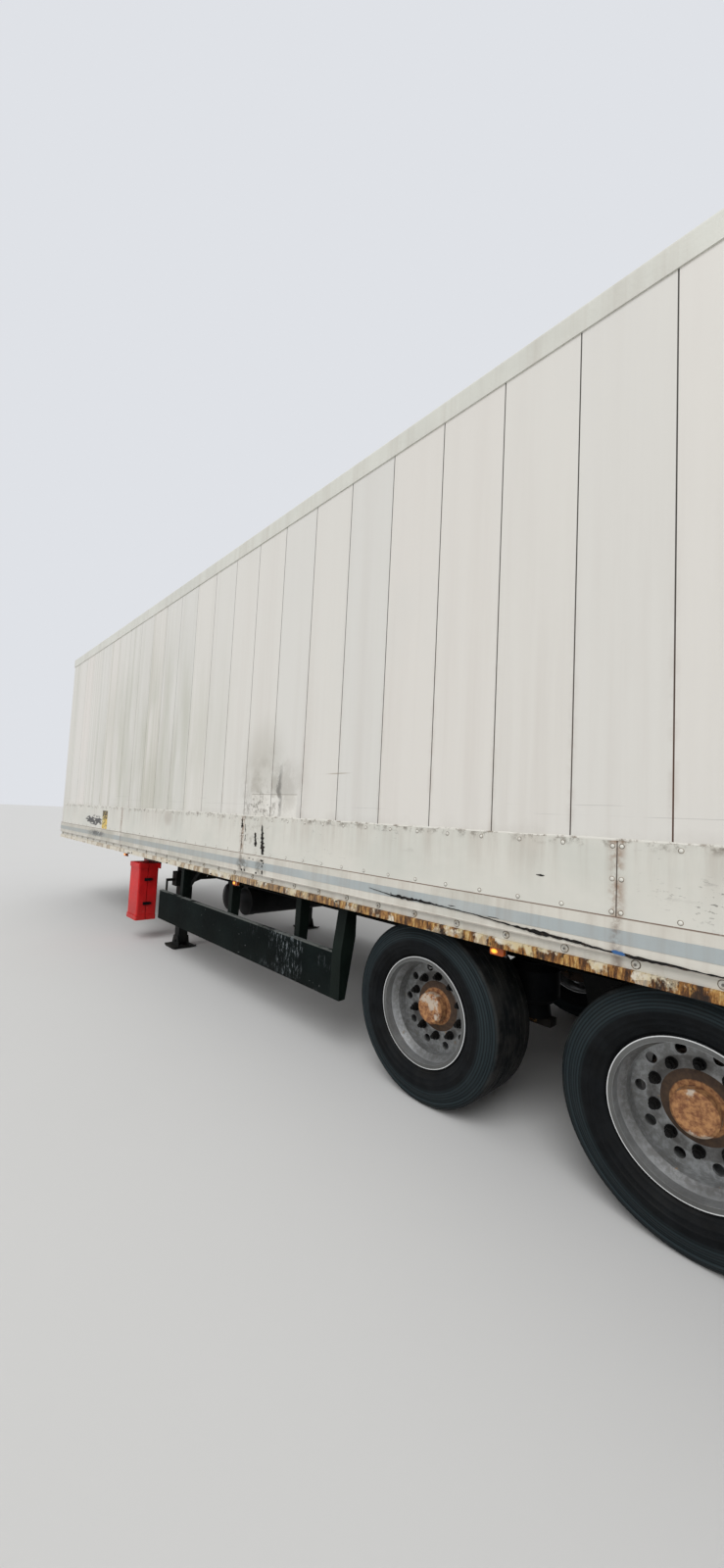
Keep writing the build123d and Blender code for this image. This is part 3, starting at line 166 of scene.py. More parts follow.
# Painted shadows of dents in the flange, as dark blobs
EDGE_DENT_SHADOWS = (
    (3.330, 0.991, 0.060, 0.007),
    (3.440, 1.004, 0.016, 0.012),
    (4.490, 0.987, 0.030, 0.006),
    (4.550, 1.012, 0.012, 0.008),
    (5.480, 0.990, 0.020, 0.006),
    (7.250, 1.016, 0.022, 0.007),
)
CHIP = (8.668, 1.357, 0.022, 0.0055)
BLUE_RAG = (9.012, 1.086, 0.032, 0.0095)
LABEL = (2.325, 1.352, 0.105, 0.130)
PATCH = (6.430, 1.625, 0.310, 0.093)
MARK_CORNERS = 13
# Black edging torn loose along the rail: distance, height, half width
TORN_EDGING = (
    (7.560, 1.149, 0.0010),
    (7.700, 1.136, 0.0020),
    (7.742, 1.131, 0.0028),
    (7.800, 1.131, 0.0085),
    (8.000, 1.130, 0.0070),
    (8.100, 1.127, 0.0028),
    (8.310, 1.120, 0.0022),
    (8.530, 1.104, 0.0032),
    (8.660, 1.099, 0.0090),
    (8.800, 1.094, 0.0060),
    (8.970, 1.084, 0.0028),
    (9.120, 1.081, 0.0075),
    (9.250, 1.0795, 0.0030),
    (9.360, 1.079, 0.0024),
    (9.420, 1.081, 0.0085),
    (9.620, 1.079, 0.0050),
)
# Stains: distance and height of the middle, half length, half height
FRONT_FILM = (3.6, 2.3, 2.7, 1.7)
PATCH_SMEAR = (6.36, 1.76, 0.62, 0.40)
PATCH_HAZE = (6.26, 2.00, 0.42, 0.42)
PATCH_FLECKS = (6.24, 1.63, 0.34, 0.15)
SOOT_STROKE = (6.52, 1.72, 0.045, 0.30)
BROWN_SCRATCH = (7.20, 1.865, 0.17, 0.006)
LABEL_SMEARS = (1.86, 1.335, 0.50, 0.085)
NICKS = (9.55, 1.335, 0.55, 0.13)
TEAR_SOOT = (6.16, 1.38, 0.26, 0.22)
BROWN_RUN = (4.45, 1.47, 0.16, 0.12)
STRIPE_RUBS = ((6.31, 1.14, 0.12, 0.09), (6.03, 1.13, 0.13, 0.10))
RAIL_BLOTCH = (2.0, 1.155, 0.50, 0.06)

# Colours of dirt, linear
MUD = (0.13, 0.11, 0.085)
SOOT = (0.035, 0.033, 0.03)
FILM = (0.40, 0.405, 0.31)
BROWN = (0.22, 0.13, 0.075)
SPRAY = (0.22, 0.20, 0.16)
GAP = (0.10, 0.095, 0.085)

# Camera from the box's front, the rail's face and the flange's foot; way of the soft lamp
CAMERA_BEHIND, CAMERA_BESIDE, CAMERA_ABOVE = 9.788, 2.201, 0.609
CAMERA_RIGHT = (-0.6867, -0.7253, 0.0493)
CAMERA_FORWARD = (0.7269, -0.6839, 0.0625)
LAMP_SHINES = (0.25, -0.62, -0.78)


class TrailerPaint(bpy.types.PropertyGroup):
    """Colours of the large surfaces, linear."""

    wall: FloatVectorProperty(
        name="Wall", description="Cream of the wall panels",
        default=(0.700, 0.680, 0.635), subtype="COLOR")
    wall_cool: FloatVectorProperty(
        name="Wall, cooler panel", description="Panels that lean to grey",
        default=(0.678, 0.666, 0.628), subtype="COLOR")
    wall_warm: FloatVectorProperty(
        name="Wall, warmer panel", description="Panels that lean to beige",
        default=(0.715, 0.680, 0.635), subtype="COLOR")
    kick: FloatVectorProperty(
        name="Kick plate", description="Riveted sheets along the foot",
        default=(0.665, 0.650, 0.590), subtype="COLOR")
    rail: FloatVectorProperty(
        name="Rail", description="Cream bands of the side rail",
        default=(0.650, 0.625, 0.560), subtype="COLOR")
    stripe: FloatVectorProperty(
        name="Stripe", description="Grey-blue band along the rail",
        default=(0.385, 0.425, 0.430), subtype="COLOR")
    guard: FloatVectorProperty(
        name="Guard", description="Dark panel under the box",
        default=(0.0024, 0.0042, 0.0040), subtype="COLOR")
    cabinet: FloatVectorProperty(
        name="Cabinet", description="Red of the extinguisher cabinet",
        default=(0.62, 0.012, 0.014), subtype="COLOR")


class TrailerWear(bpy.types.PropertyGroup):
    """How worn the trailer is."""

    rust: FloatProperty(
        name="Rust", description="Share of the steel edge under the rail that is rusty",
        default=0.5, min=0, max=1)
    streaks: FloatProperty(
        name="Streaks", description="Strength of the rain streaks on the walls",
        default=0.42, min=0, max=1)
    grime: FloatProperty(
        name="Grime", description="Strength of the green-grey film on the front panels",
        default=0.55, min=0, max=1)
    seed: IntProperty(
        name="Seed", description="Picks the ragged outlines of the damage", default=7)


class TrailerFasteners(bpy.types.PropertyGroup):
    """Sizes of rivets, washers and wheel nuts."""

    rivet_radius: FloatProperty(
        name="Rivet radius", description="Half width of a rivet's dome",
        default=0.0085, unit="LENGTH")
    rivet_height: FloatProperty(
        name="Rivet height", description="Rise of a rivet's dome", default=0.005, unit="LENGTH")
    rivets_per_sheet: IntProperty(
        name="Rivets on a sheet", description="Rivets in the top row of one kick plate",
        default=15, min=2)
    joint_offset: FloatProperty(
        name="Rivet to joint", description="From a sheet's end to its first rivets",
        default=0.018, unit="LENGTH")
    washer_radius: FloatProperty(
        name="Washer radius", description="Half width of the washers in the rail's channel",
        default=0.015, unit="LENGTH")
    washer_pitch: FloatProperty(
        name="Washer pitch", description="Spacing of the washers along the rail",
        default=0.29, unit="LENGTH")
    nuts_per_wheel: IntProperty(
        name="Wheel nuts", description="Nuts on one wheel", default=10, min=3)
    nut_circle: FloatProperty(
        name="Nut circle", description="Radius of the circle that the wheel nuts stand on",
        default=0.1675, unit="LENGTH")


class TrailerTyres(bpy.types.PropertyGroup):
    """Tread and sidewall of the tyres."""

    grooves: IntProperty(name="Grooves", description="Grooves around the tread", default=5, min=1)
    groove_depth: FloatProperty(
        name="Groove depth", description="Depth of the tread grooves",
        default=0.011, unit="LENGTH")
    groove_width: FloatProperty(
        name="Groove width", description="Width of the tread grooves",
        default=0.012, unit="LENGTH")
    ridge_height: FloatProperty(
        name="Ridge height", description="Rise of the sidewall's rings",
        default=0.0025, unit="LENGTH")
    steps: IntProperty(name="Steps round", description="Faces around the tyre", default=144, min=48)


class TrailerStage(bpy.types.PropertyGroup):
    """Camera, floor and lamps."""

    lens: FloatProperty(
        name="Lens", description="Focal length of the camera", default=11.55, unit="CAMERA")
    sky: FloatProperty(
        name="Sky light", description="Strength of the even light from all round",
        default=0.72, min=0)
    sun: FloatProperty(
        name="Soft lamp", description="Strength of the soft lamp overhead", default=1.5, min=0)
    floor: FloatVectorProperty(
        name="Floor", description="Colour of the floor",
        default=(0.62, 0.62, 0.615), subtype="COLOR")
    floor_half: FloatProperty(
        name="Floor reach", description="Half length of the floor", default=150.0, unit="LENGTH")


class Value:
    """Output of a node; arithmetic on it adds more nodes."""

    def __init__(self, graph, socket):
        self.graph, self.socket = graph, socket

    def __add__(self, other):
        return self.graph.math("ADD", self, other)

    def __sub__(self, other):
        return self.graph.math("SUBTRACT", self, other)

    def __rsub__(self, other):
        return self.graph.math("SUBTRACT", other, self)

    def __mul__(self, other):
        return self.graph.math("MULTIPLY", self, other)

    def __truediv__(self, other):
        return self.graph.math("DIVIDE", self, other)

    def __abs__(self):
        return self.graph.math("ABSOLUTE", self)

    def fold(self, half):
        """Distance to the nearest of lines that stand two halves apart."""
        return self.graph.math("PINGPONG", self, half)

    def smooth(self, low, high):
        """0 below low, 1 above high, eased between; high may be the smaller."""
        inputs = {"Value": self, "From Min": low, "From Max": high}
        return self.graph.value("ShaderNodeMapRange", inputs, interpolation_type="SMOOTHSTEP")

    def between(self, low, high, soft):
        """1 from low to high, fading over soft at both ends."""
        return self.smooth(low - soft, low) * self.smooth(high + soft, high)

    def blend(self, first, second):
        """First number where the value is 0, second where it is 1."""
        inputs = {0: self, 2: first, 3: second}
        return self.graph.value("ShaderNodeMix", inputs, data_type="FLOAT")

    def mix(self, first, second):
        """First colour where the value is 0, second where it is 1."""
        inputs = {0: self, 6: first, 7: second}
        return self.graph.value("ShaderNodeMix", inputs, 2, data_type="RGBA")


class Graph:
    """Adds nodes to one tree."""

    def __init__(self, tree):
        self.tree = tree

    def put(self, socket, value):
        """Leads a value to a socket, or sets it to a number, a name or a colour."""
        if isinstance(value, Value):
            self.tree.links.new(value.socket, socket)
        elif socket.type == "RGBA":
            socket.default_value = (*value, 1.0)
        else:
            socket.default_value = value

    def node(self, kind, inputs=None, **settings):
        node = self.tree.nodes.new(kind)
        for name, value in settings.items():
            setattr(node, name, value)
        for key, value in (inputs or {}).items():
            self.put(node.inputs[key], value)
        return node

    def value(self, kind, inputs=None, output=0, **settings):
        """One output of a new node."""
        return Value(self, self.node(kind, inputs, **settings).outputs[output])

    def math(self, operation, *values, **settings):
        inputs = dict(enumerate(values))
        return self.value("ShaderNodeMath", inputs, operation=operation, **settings)

    @property
    def place(self):
        """The point's place in the trailer's frame."""
        return self.value("ShaderNodeTexCoord", output="Object")

    def split(self, vector):
        parts = self.node("ShaderNodeSeparateXYZ", {0: vector})
        return [Value(self, socket) for socket in parts.outputs]

    def noise(self, scale, detail=3.0, roughness=0.55, vector=None):
        """Noise over the trailer; three numbers for the scale stretch it."""
        vector = vector or self.place
        if isinstance(scale, tuple):
            vector = self.value("ShaderNodeMapping", {"Vector": vector, "Scale": scale})
            scale = 1.0
        inputs = {"Vector": vector, "Scale": scale, "Detail": detail, "Roughness": roughness}
        return self.value("ShaderNodeTexNoise", inputs)

    def ramp(self, value, stops):
        """Colour ramp with (place, colour) stops."""
        node = self.node("ShaderNodeValToRGB", {0: value})
        elements = node.color_ramp.elements
        while len(elements) < len(stops):
            elements.new(0.5)
        for element, (at, colour) in zip(elements, stops):
            element.position = at
            element.color = (*colour, 1.0)
        return Value(self, node.outputs[0])

    def group(self, name, **inputs):
        """Places a shared effect and gives its outputs."""
        node = self.node("ShaderNodeGroup", inputs, node_tree=bpy.data.node_groups[name])
        return [Value(self, socket) for socket in node.outputs]


def largest(first, *others):
    for other in others:
        first = first.graph.math("MAXIMUM", first, other)
    return first


def length(across, up):
    """Length of a slope that runs across and up."""
    return across.graph.math("SQRT", across * across + up * up)


def scaled(colour, factor):
    return tuple(factor * part for part in colour)


class Finish(Graph):
    """A material in the making, with the colour laid on it so far."""

    def __init__(self, name, roughness=0.5, metallic=0.0, specular=0.5):
        self.material = bpy.data.materials.new(name)
        self.material.use_nodes = True
        super().__init__(self.material.node_tree)
        self.lead("Roughness", roughness)
        self.lead("Metallic", metallic)
        self.lead("Specular IOR Level", specular)
        self.x, self.y, self.z = self.split(self.place)

    @property
    def distance(self):
        """Distance back from the front of the box."""
        return X_FRONT - self.x

    @property
    def left(self):
        """1 on the left side, 0 on the right."""
        return self.y.smooth(-0.01, 0.01)

    def lead(self, name, value):
        """Hands a value to the shader."""
        self.put(self.tree.nodes["Principled BSDF"].inputs[name], value)

    def lay(self, share, colour):
        """Covers a share of the surface with another colour."""
        self.colour = share.mix(self.colour, colour)

    def spot(self, stain, distance=None):
        """Soft ellipse where a stain lies on the sides."""
        at, height, half_length, half_height = stain
        across = ((distance or self.distance) - at) / half_length
        return length(across, (self.z - height) / half_height).smooth(1.0, 0.25)

    def stain(self, stain, share, colour):
        """Lays a colour on a stain's share of the left side."""
        self.lay(self.spot(stain) * self.left * share, colour)

    def from_axle(self, centre):
        """Distance from an axle's line."""
        return length(self.x - centre.x, self.z - centre.z)

    def streaks(self, across, along, spread):
        return self.group("Rain streaks", Across=across, Along=along, Spread=spread)[0]

    def grime(self, level, depth, ragged):
        return self.group("Low grime", Level=level, Depth=depth, Ragged=ragged)[0]

    def rusted(self, amount, scale, strength=1.0):
        """Lays rust on; gives its mask and its height."""
        mask, colour, height = self.group("Rust", Amount=amount, Scale=scale)
        self.lay(mask * strength, colour)
        return mask, height

    def dusted(self, amount, strength=1.0):
        """Lays mud dust on; gives its mask."""
        lying = self.group("Dust", Amount=amount)[0]
        self.lay(lying * strength, MUD)
        return lying

    def grained(self, scale, low, high):
        """Roughness that follows a fine grain; gives the grain."""
        grain = self.group("Grain", Scale=scale)[0]
        self.lead("Roughness", grain.blend(low, high))
        return grain

    def done(self, height=None, depth=0.0):
        """Hands over the colour and a relief of some depth; gives the material."""
        self.lead("Base Color", self.colour)
        if height:
            self.lead("Normal", self.value("ShaderNodeBump", {"Height": height, "Distance": depth}))
        return self.material


# Effects that several materials share

SOCKETS = {
    "Colour": "NodeSocketColor",
    "Finish": "NodeSocketMaterial",
    "Geometry": "NodeSocketGeometry",
}


def new_tree(kind, name, inputs, outputs):
    """Node group with named inputs and outputs; gives its graph, its inputs and its end."""
    tree = bpy.data.node_groups.new(name, kind)
    for label, default in inputs.items():
        socket_type = SOCKETS.get(label, "NodeSocketFloat")
        socket = tree.interface.new_socket(name=label, in_out="INPUT", socket_type=socket_type)
        if default is not None:
            socket.default_value = default
    for label in outputs:
        socket_type = SOCKETS.get(label, "NodeSocketFloat")
        tree.interface.new_socket(name=label, in_out="OUTPUT", socket_type=socket_type)
    graph = Graph(tree)
    given = {socket.name: Value(graph, socket) for socket in graph.node("NodeGroupInput").outputs}
    return graph, given, graph.node("NodeGroupOutput").inputs


def group_streaks():
    """Upright rain streaks: long thin noise."""
    inputs = {"Across": 14.0, "Along": 0.5, "Spread": 0.5}
    graph, given, end = new_tree("ShaderNodeTree", "Rain streaks", inputs, ["Mask"])
    x, y, z = graph.split(graph.place)
    parts = {0: x * given["Across"], 1: y * given["Across"], 2: z * given["Along"]}
    vector = graph.value("ShaderNodeCombineXYZ", parts)
    fine = graph.noise(1.0, 4.0, 0.6, vector)
    broad = graph.noise(0.22, 2.0, vector=vector)
    top = 0.82 - given["Spread"] * 0.3
    graph.put(end[0], (fine * 0.6 + broad * 0.4).smooth(top - 0.28, top))


def group_grime():
    """Dirt that thickens downwards from a level, with a ragged upper edge."""
    inputs = {"Level": 1.0, "Depth": 0.5, "Ragged": 0.3}
    graph, given, end = new_tree("ShaderNodeTree", "Low grime", inputs, ["Mask"])
    wave = (graph.noise(5.0, 5.0, 0.65) - 0.5) * given["Ragged"]
    drop = given["Level"] - (graph.split(graph.place)[2] + wave)
    graph.put(end[0], graph.math("DIVIDE", drop, given["Depth"], use_clamp=True))


def group_rust():
    """Rust patches with their colour and their swelling."""
    inputs = {"Amount": 0.5, "Scale": 9.0}
    outputs = ["Mask", "Colour", "Height"]
    graph, given, end = new_tree("ShaderNodeTree", "Rust", inputs, outputs)
    coarse = graph.noise(given["Scale"], 7.0, 0.62)
    fine = graph.noise(given["Scale"] * 7.0, 5.0, 0.7)
    edge = 0.74 - given["Amount"] * 0.48
    mask = (coarse * 0.75 + fine * 0.25).smooth(edge, edge + 0.055)
    stops = (
        (0.32, (0.014, 0.008, 0.006)),
        (0.45, (0.070, 0.031, 0.012)),
        (0.56, (0.27, 0.135, 0.036)),
        (0.70, (0.52, 0.36, 0.15)),
    )
    for socket, value in zip(end, (mask, graph.ramp(fine, stops), mask * fine)):
        graph.put(socket, value)


def group_grain():
    """Fine unevenness of a painted, cast or moulded surface."""
    graph, given, end = new_tree("ShaderNodeTree", "Grain", {"Scale": 60.0}, ["Value"])
    graph.put(end[0], graph.noise(given["Scale"], 4.0, 0.6))


def group_dust():
    """Dust and dried mud lying on what faces up."""
    graph, given, end = new_tree("ShaderNodeTree", "Dust", {"Amount": 0.5}, ["Mask"])
    up = graph.split(graph.value("ShaderNodeNewGeometry", output="Normal"))[2]
    share = (up.smooth(0.1, 0.9) * 0.75 + 0.25) * given["Amount"]
    graph.put(end[0], share * graph.noise(7.0, 5.0, 0.6).smooth(0.3, 0.7))


# Finishes of the box

def wall_tone(wall, paint):
    """Cream that differs a little from panel to panel."""
    panel = wall.math("FLOOR", wall.distance / PANEL_PITCH)
    seed = wall.value("ShaderNodeCombineXYZ", {0: panel, 1: wall.left})
    dice = wall.value("ShaderNodeTexWhiteNoise", {"Vector": seed}, "Value", noise_dimensions="3D")
    wall.colour = dice.smooth(0.0, 0.5).mix(paint.wall_cool, paint.wall)
    wall.lay(dice.smooth(0.5, 1.0), paint.wall_warm)
    wall.lay(wall.noise(0.8).smooth(0.5, 0.8), paint.wall_cool)


def wall_film(wall, wear):
    """Rain streaks and the green-grey film, thickest on the panels behind the front."""
    flutes = wall.noise((24.0, 0.5, 0.12), 2.0).smooth(0.48, 0.72) * wall.left.blend(0.2, 0.42)
    wall.lay(wall.distance.smooth(6.5, 2.0) * flutes, FILM)
    fade = wall.z.smooth(WALL_HIGH.z, KICK_HIGH.z).blend(0.35, 1.0)
    wall.lay(wall.streaks(9.0, 0.35, 0.35) * fade * (0.3 * wear.streaks), BROWN)
    patches = wall.noise((5.0, 1.0, 0.9)).smooth(0.25, 0.75) * wall.left.blend(0.3, 1.0)
    wall.lay(wall.spot(FRONT_FILM) * patches * wear.grime, FILM)


def wall_damage(wall, cells):
    """Repair patch with a painted shadow line along its top, the smudges round it and the stroke of soot
    through it.
    """
    at, height, half_length, half_height = PATCH
    top = height + half_height
    across = wall.distance.between(at - half_length, at + half_length, 0.012) * wall.left
    wall.lay(across * wall.z.smooth(top + 0.006, top) * 0.55, (0.80, 0.775, 0.715))
    wall.stain(PATCH_SMEAR, cells.smooth(0.38, 0.64) * 0.40, (0.22, 0.195, 0.145))
    wall.stain(PATCH_HAZE, 0.24, (0.26, 0.25, 0.18))
    flecks = wall.noise(24.0, 5.0, 0.7).smooth(0.52, 0.58)
    wall.stain(PATCH_FLECKS, flecks * 0.6, (0.12, 0.105, 0.08))
    stroke = wall.spot(SOOT_STROKE, wall.distance + (cells - 0.5) * 0.16) * wall.left
    wall.lay(stroke * cells.smooth(0.30, 0.52) * 0.66, (0.09, 0.083, 0.07))
    # Painted shadow line along the top edge of the patch
    wall.lay(wall.z.between(top, top + 0.002, 0.0025) * across * 0.6, (0.13, 0.095, 0.06))


def wall_scratches(wall):
    """Faint level scratches, and the brown one behind the patch."""
    broken = wall.noise((2.5, 1.0, 30.0)).smooth(0.5, 0.6) * 0.22
    for above in SCRATCHES_ABOVE_KICK:
        height = KICK_HIGH.z + above
        wall.lay(wall.z.between(height, height + 0.001, 0.0018) * broken, SOOT)
    wall.lay(wall.spot(BROWN_SCRATCH) * 0.55, (0.24, 0.17, 0.09))


def wall_seams(wall, cells):
    """Dark seams between the panels, browner towards the rear and the foot."""
    off = wall.distance.fold(PANEL_PITCH / 2)
    rusty = wall.distance.smooth(8.6, 9.4) * wall.z.smooth(2.6, 1.7)
    strength = wall.distance.smooth(2.5, 8.0).blend(0.35, 0.95)
    wall.lay(off.smooth(0.0042, 0.0022) * strength, rusty.mix(GAP, (0.11, 0.042, 0.02)))
    bleed = off.smooth(0.03, 0.003) * wall.z.smooth(3.2, 1.6) * cells.smooth(0.4, 0.62)
    wall.lay(bleed * 0.16, BROWN)


def wall_material(paint, wear):
    """Panels that differ a little in tone, with streaked dirt and dark seams."""
    wall = Finish("wall panels")
    cells = wall.noise(6.0, 7.0, 0.72)
    wall_tone(wall, paint)
    wall_film(wall, wear)
    wall.lay(wall.grime(KICK_HIGH.z + 0.05, 0.16, 0.22) * 0.26, (0.22, 0.19, 0.145))
    wall_damage(wall, cells)
    wall_scratches(wall)
    wall_seams(wall, cells)
    grain = wall.grained(35.0, 0.36, 0.52)
    return wall.done(wall.noise((2.2, 1.0, 0.8), 2.0) + grain * 0.02, 0.006)


def kick_material(paint, wear):
    """Riveted sheets, with grime from the top edge and rust at the joints."""
    kick = Finish("kick plates")
    cloud = kick.noise(1.6, 5.0, 0.6)
    kick.colour = cloud.smooth(0.4, 0.7).mix(paint.kick, (0.60, 0.60, 0.545))
    high = kick.z.smooth(KICK_LOW.z, KICK_HIGH.z)
    kick.lay(kick.streaks(22.0, 1.6, 0.42) * high * (0.6 * wear.streaks), BROWN)
    # Dirt caught along the top edge
    speck = kick.noise((16.0, 4.0, 16.0), 6.0, 0.72)
    edge = kick.z.smooth(KICK_HIGH.z - 0.045, KICK_HIGH.z - 0.002)
    kick.lay(edge * speck.smooth(0.47, 0.64) * 0.75, (0.14, 0.115, 0.085))
    # Rust that runs from the joints
    off = kick.distance.fold(SHEET_LENGTH / 2)
    run = (off + (cloud - 0.5) * 0.03).smooth(0.05, 0.004) * speck.smooth(0.36, 0.62)
    kick.lay(run * 0.75, (0.24, 0.12, 0.055))
    kick.lay(off.smooth(0.0035, 0.0015) * 0.9, (0.06, 0.035, 0.02))
    # Scuffs from forks and gates
    area = kick.noise(1.1, 2.0).smooth(0.5, 0.62)
    rub = kick.noise((9.0, 1.0, 26.0), 7.0, 0.75)
    kick.lay(area * rub.smooth(0.60, 0.645) * 0.5, (0.17, 0.16, 0.145))
    # Dark smears round the bare label
    near = kick.spot(LABEL_SMEARS) * kick.left
    torn = kick.noise((7.0, 1.0, 34.0), 6.0, 0.6) + near * 0.13
    kick.lay(torn.smooth(0.53, 0.60) * near.smooth(0.0, 0.2), SOOT)
    # Nicks behind the third joint, soot round the tears, a brown run on the second sheet
    nicks = kick.noise((30.0, 1.0, 75.0), 5.0, 0.65).smooth(0.60, 0.63)
    kick.stain(NICKS, nicks * 0.8, (0.10, 0.095, 0.08))
    kick.stain(TEAR_SOOT, speck.smooth(0.50, 0.66) * 0.35, (0.15, 0.12, 0.085))
    kick.stain(BROWN_RUN, 0.28, (0.24, 0.16, 0.11))
    grain = kick.grained(45.0, 0.3, 0.5)
    return kick.done(kick.noise((3.4, 1.0, 4.5), 2.0) + grain * 0.02, 0.008)


def rail_material(paint, wear):
    """Cream rail with its grey-blue stripe; the channel under it is greyer."""
    rail = Finish("side rails")
    cloud = rail.noise(2.4, 5.0, 0.6)
    rail.colour = cloud.smooth(0.4, 0.7).mix(paint.rail, (0.56, 0.545, 0.485))
    level = rail.z + (rail.noise(11.0) - 0.5) * 0.002
    band = cloud.smooth(0.42, 0.66).mix(paint.stripe, (0.43, 0.46, 0.455))
    rail.lay(level.between(STRIPE_LOW, STRIPE_HIGH, 0.0006), band)
    faded = rail.distance.smooth(6.6, 3.6) * cloud.smooth(0.25, 0.6)
    rail.lay(faded * 0.42, (0.31, 0.295, 0.225))
    rail.lay(rail.z.smooth(FACE_LOW + 0.001, FACE_LOW - 0.001) * 0.8, (0.66, 0.645, 0.585))
    rail.lay(rail.streaks(26.0, 3.0, 0.45) * (0.42 * wear.streaks), BROWN)
    # Rust along the upper seam and under the sheet joints; at the lip, rust mixed with a painted shadow
    # line under the overhang
    speck = rail.noise((22.0, 6.0, 22.0), 6.0, 0.72)
    seam = rail.z.smooth(RAIL_HIGH.z - 0.008, RAIL_HIGH.z - 0.003) * speck.smooth(0.24, 0.42)
    off = rail.distance.fold(SHEET_LENGTH / 2)
    run = off.smooth(0.035, 0.003) * speck.smooth(0.40, 0.62) * 0.6
    # Lip line: painted shadow under the rail's overhang, darker where the rust speckle lies
    lip = rail.z.between(FACE_LOW - 0.003, FACE_LOW + 0.004, 0.002)
    lip = lip * speck.smooth(0.55, 0.65).blend(0.35, 0.7)
    rail.lay(largest(seam, run, lip) * 0.9, (0.13, 0.07, 0.04))
    # Grey rubs across the stripe below the tears, dark blotches near the front
    rubs = largest(*map(rail.spot, STRIPE_RUBS))
    rail.lay(rubs * rail.left * speck.smooth(0.40, 0.56) * 0.7, (0.11, 0.10, 0.08))
    rail.stain(RAIL_BLOTCH, speck.smooth(0.38, 0.52) * 0.85, SOOT)
    return rail.done(rail.grained(50.0, 0.28, 0.5), 0.0006)


def edge_material(paint, wear):
    """Steel flange under the rail: cream paint lost to rust, most of all at the rear."""
    edge = Finish("rusted edge")
    rear = edge.distance.smooth(3.2, 8.4)
    low = edge.z.smooth(EDGE_HIGH.z, EDGE_LOW.z)
    patches = edge.noise(1.3, 2.0).smooth(0.35, 0.65)
    amount = rear * (0.5 * wear.rust + 0.1) + low * 0.2 + patches * 0.24
    rust, _, swelling = edge.group("Rust", Amount=amount, Scale=11.0)
    yellowed = edge.noise(8.0, 5.0, 0.65).smooth(0.30, 0.62) * rear.blend(0.3, 1.0)
    edge.colour = yellowed.mix(paint.rail, (0.58, 0.47, 0.26))
    # Upright blocks of rust between paint that still holds
    blocks = (edge.noise((8.5, 1.0, 6.0), 7.0, 0.62) + rear * 0.115).smooth(0.52, 0.58)
    mask = largest(rust * (1.0 - blocks * 0.9) * 0.55, blocks)
    stops = (
        (0.36, (0.020, 0.010, 0.006)),
        (0.45, (0.095, 0.038, 0.012)),
        (0.53, (0.30, 0.135, 0.032)),
        (0.62, (0.52, 0.33, 0.115)),
        (0.72, (0.62, 0.50, 0.28)),
    )
    fine = edge.noise((46.0, 1.0, 9.0), 6.0, 0.7)
    edge.lay(mask * rear.blend(0.45, 1.0), edge.ramp(fine, stops))
    spots = edge.noise((13.0, 1.0, 6.0), 6.0, 0.65).smooth(0.55, 0.60)
    edge.lay(spots * blocks.blend(0.35, 1.0) * rear * 0.92, (0.022, 0.012, 0.008))
    edge.lead("Roughness", mask.blend(0.45, 0.9))
    return edge.done(swelling, 0.004)


def cream_material(name, colour, wear, rust_amount, dirty_below):
    """Painted steel of the frame, doors, posts and top rails."""
    cream = Finish(name)
    cloud = cream.noise(1.9, 4.0, 0.6)
    cream.colour = cloud.smooth(0.4, 0.7).mix(colour, scaled(colour, 0.92))
    cream.lay(cream.streaks(17.0, 0.8, 0.35) * (0.4 * wear.streaks), BROWN)
    cream.lay(cream.grime(dirty_below, 0.7, 0.4) * 0.45, SPRAY)
    _, swelling = cream.rusted(rust_amount, 14.0)
    return cream.done(cream.grained(55.0, 0.32, 0.55) + swelling, 0.001)


def roof_material():
    """Roof skin with its cross joints, standing water marks and dirt."""
    roof = Finish("roof skin")
    cloud = roof.noise(1.7, 5.0, 0.65)
    roof.colour = cloud.smooth(0.4, 0.7).mix((0.62, 0.61, 0.57), (0.53, 0.525, 0.485))
    pool = roof.noise(0.9, 6.0, 0.6)
    roof.lay(pool.smooth(0.52, 0.62) * 0.4, FILM)
    off = roof.distance.fold(ROOF_PITCH / 2)
    roof.lay(off.smooth(0.07, 0.01) * cloud.smooth(0.35, 0.6) * 0.4, (0.20, 0.18, 0.14))
    roof.lay(off.smooth(0.006, 0.003) * 0.8, GAP)
    roof.lead("Roughness", cloud.blend(0.4, 0.65))
    return roof.done(off.smooth(0.03, 0.0) * 0.6 + pool * 0.4, 0.006)


def front_material(paint):
    """Front wall of upright sheets, streaked from the top, with dirt from the road."""
    front = Finish("front wall")
    cloud = front.noise(1.9, 4.0, 0.6)
    front.colour = cloud.smooth(0.4, 0.7).mix(paint.wall, paint.wall_cool)
    front.lay(front.streaks(13.0, 0.5, 0.5) * 0.2, FILM)
    front.lay(front.grime(2.3, 1.6, 0.7) * 0.34, SPRAY)
    off = (front.y + FRONT_SHEET / 2).fold(FRONT_SHEET / 2)
    flat = abs(front.y).smooth(1.24, 1.22)
    front.lay(off.smooth(0.03, 0.003) * cloud.smooth(0.4, 0.6) * flat * 0.2, BROWN)
    front.lay(off.smooth(0.0035, 0.0015) * flat * 0.75, (0.10, 0.09, 0.08))
    grain = front.grained(50.0, 0.36, 0.55)
    return front.done(front.noise((1.0, 2.0, 0.8), 2.0) + grain * 0.02, 0.006)


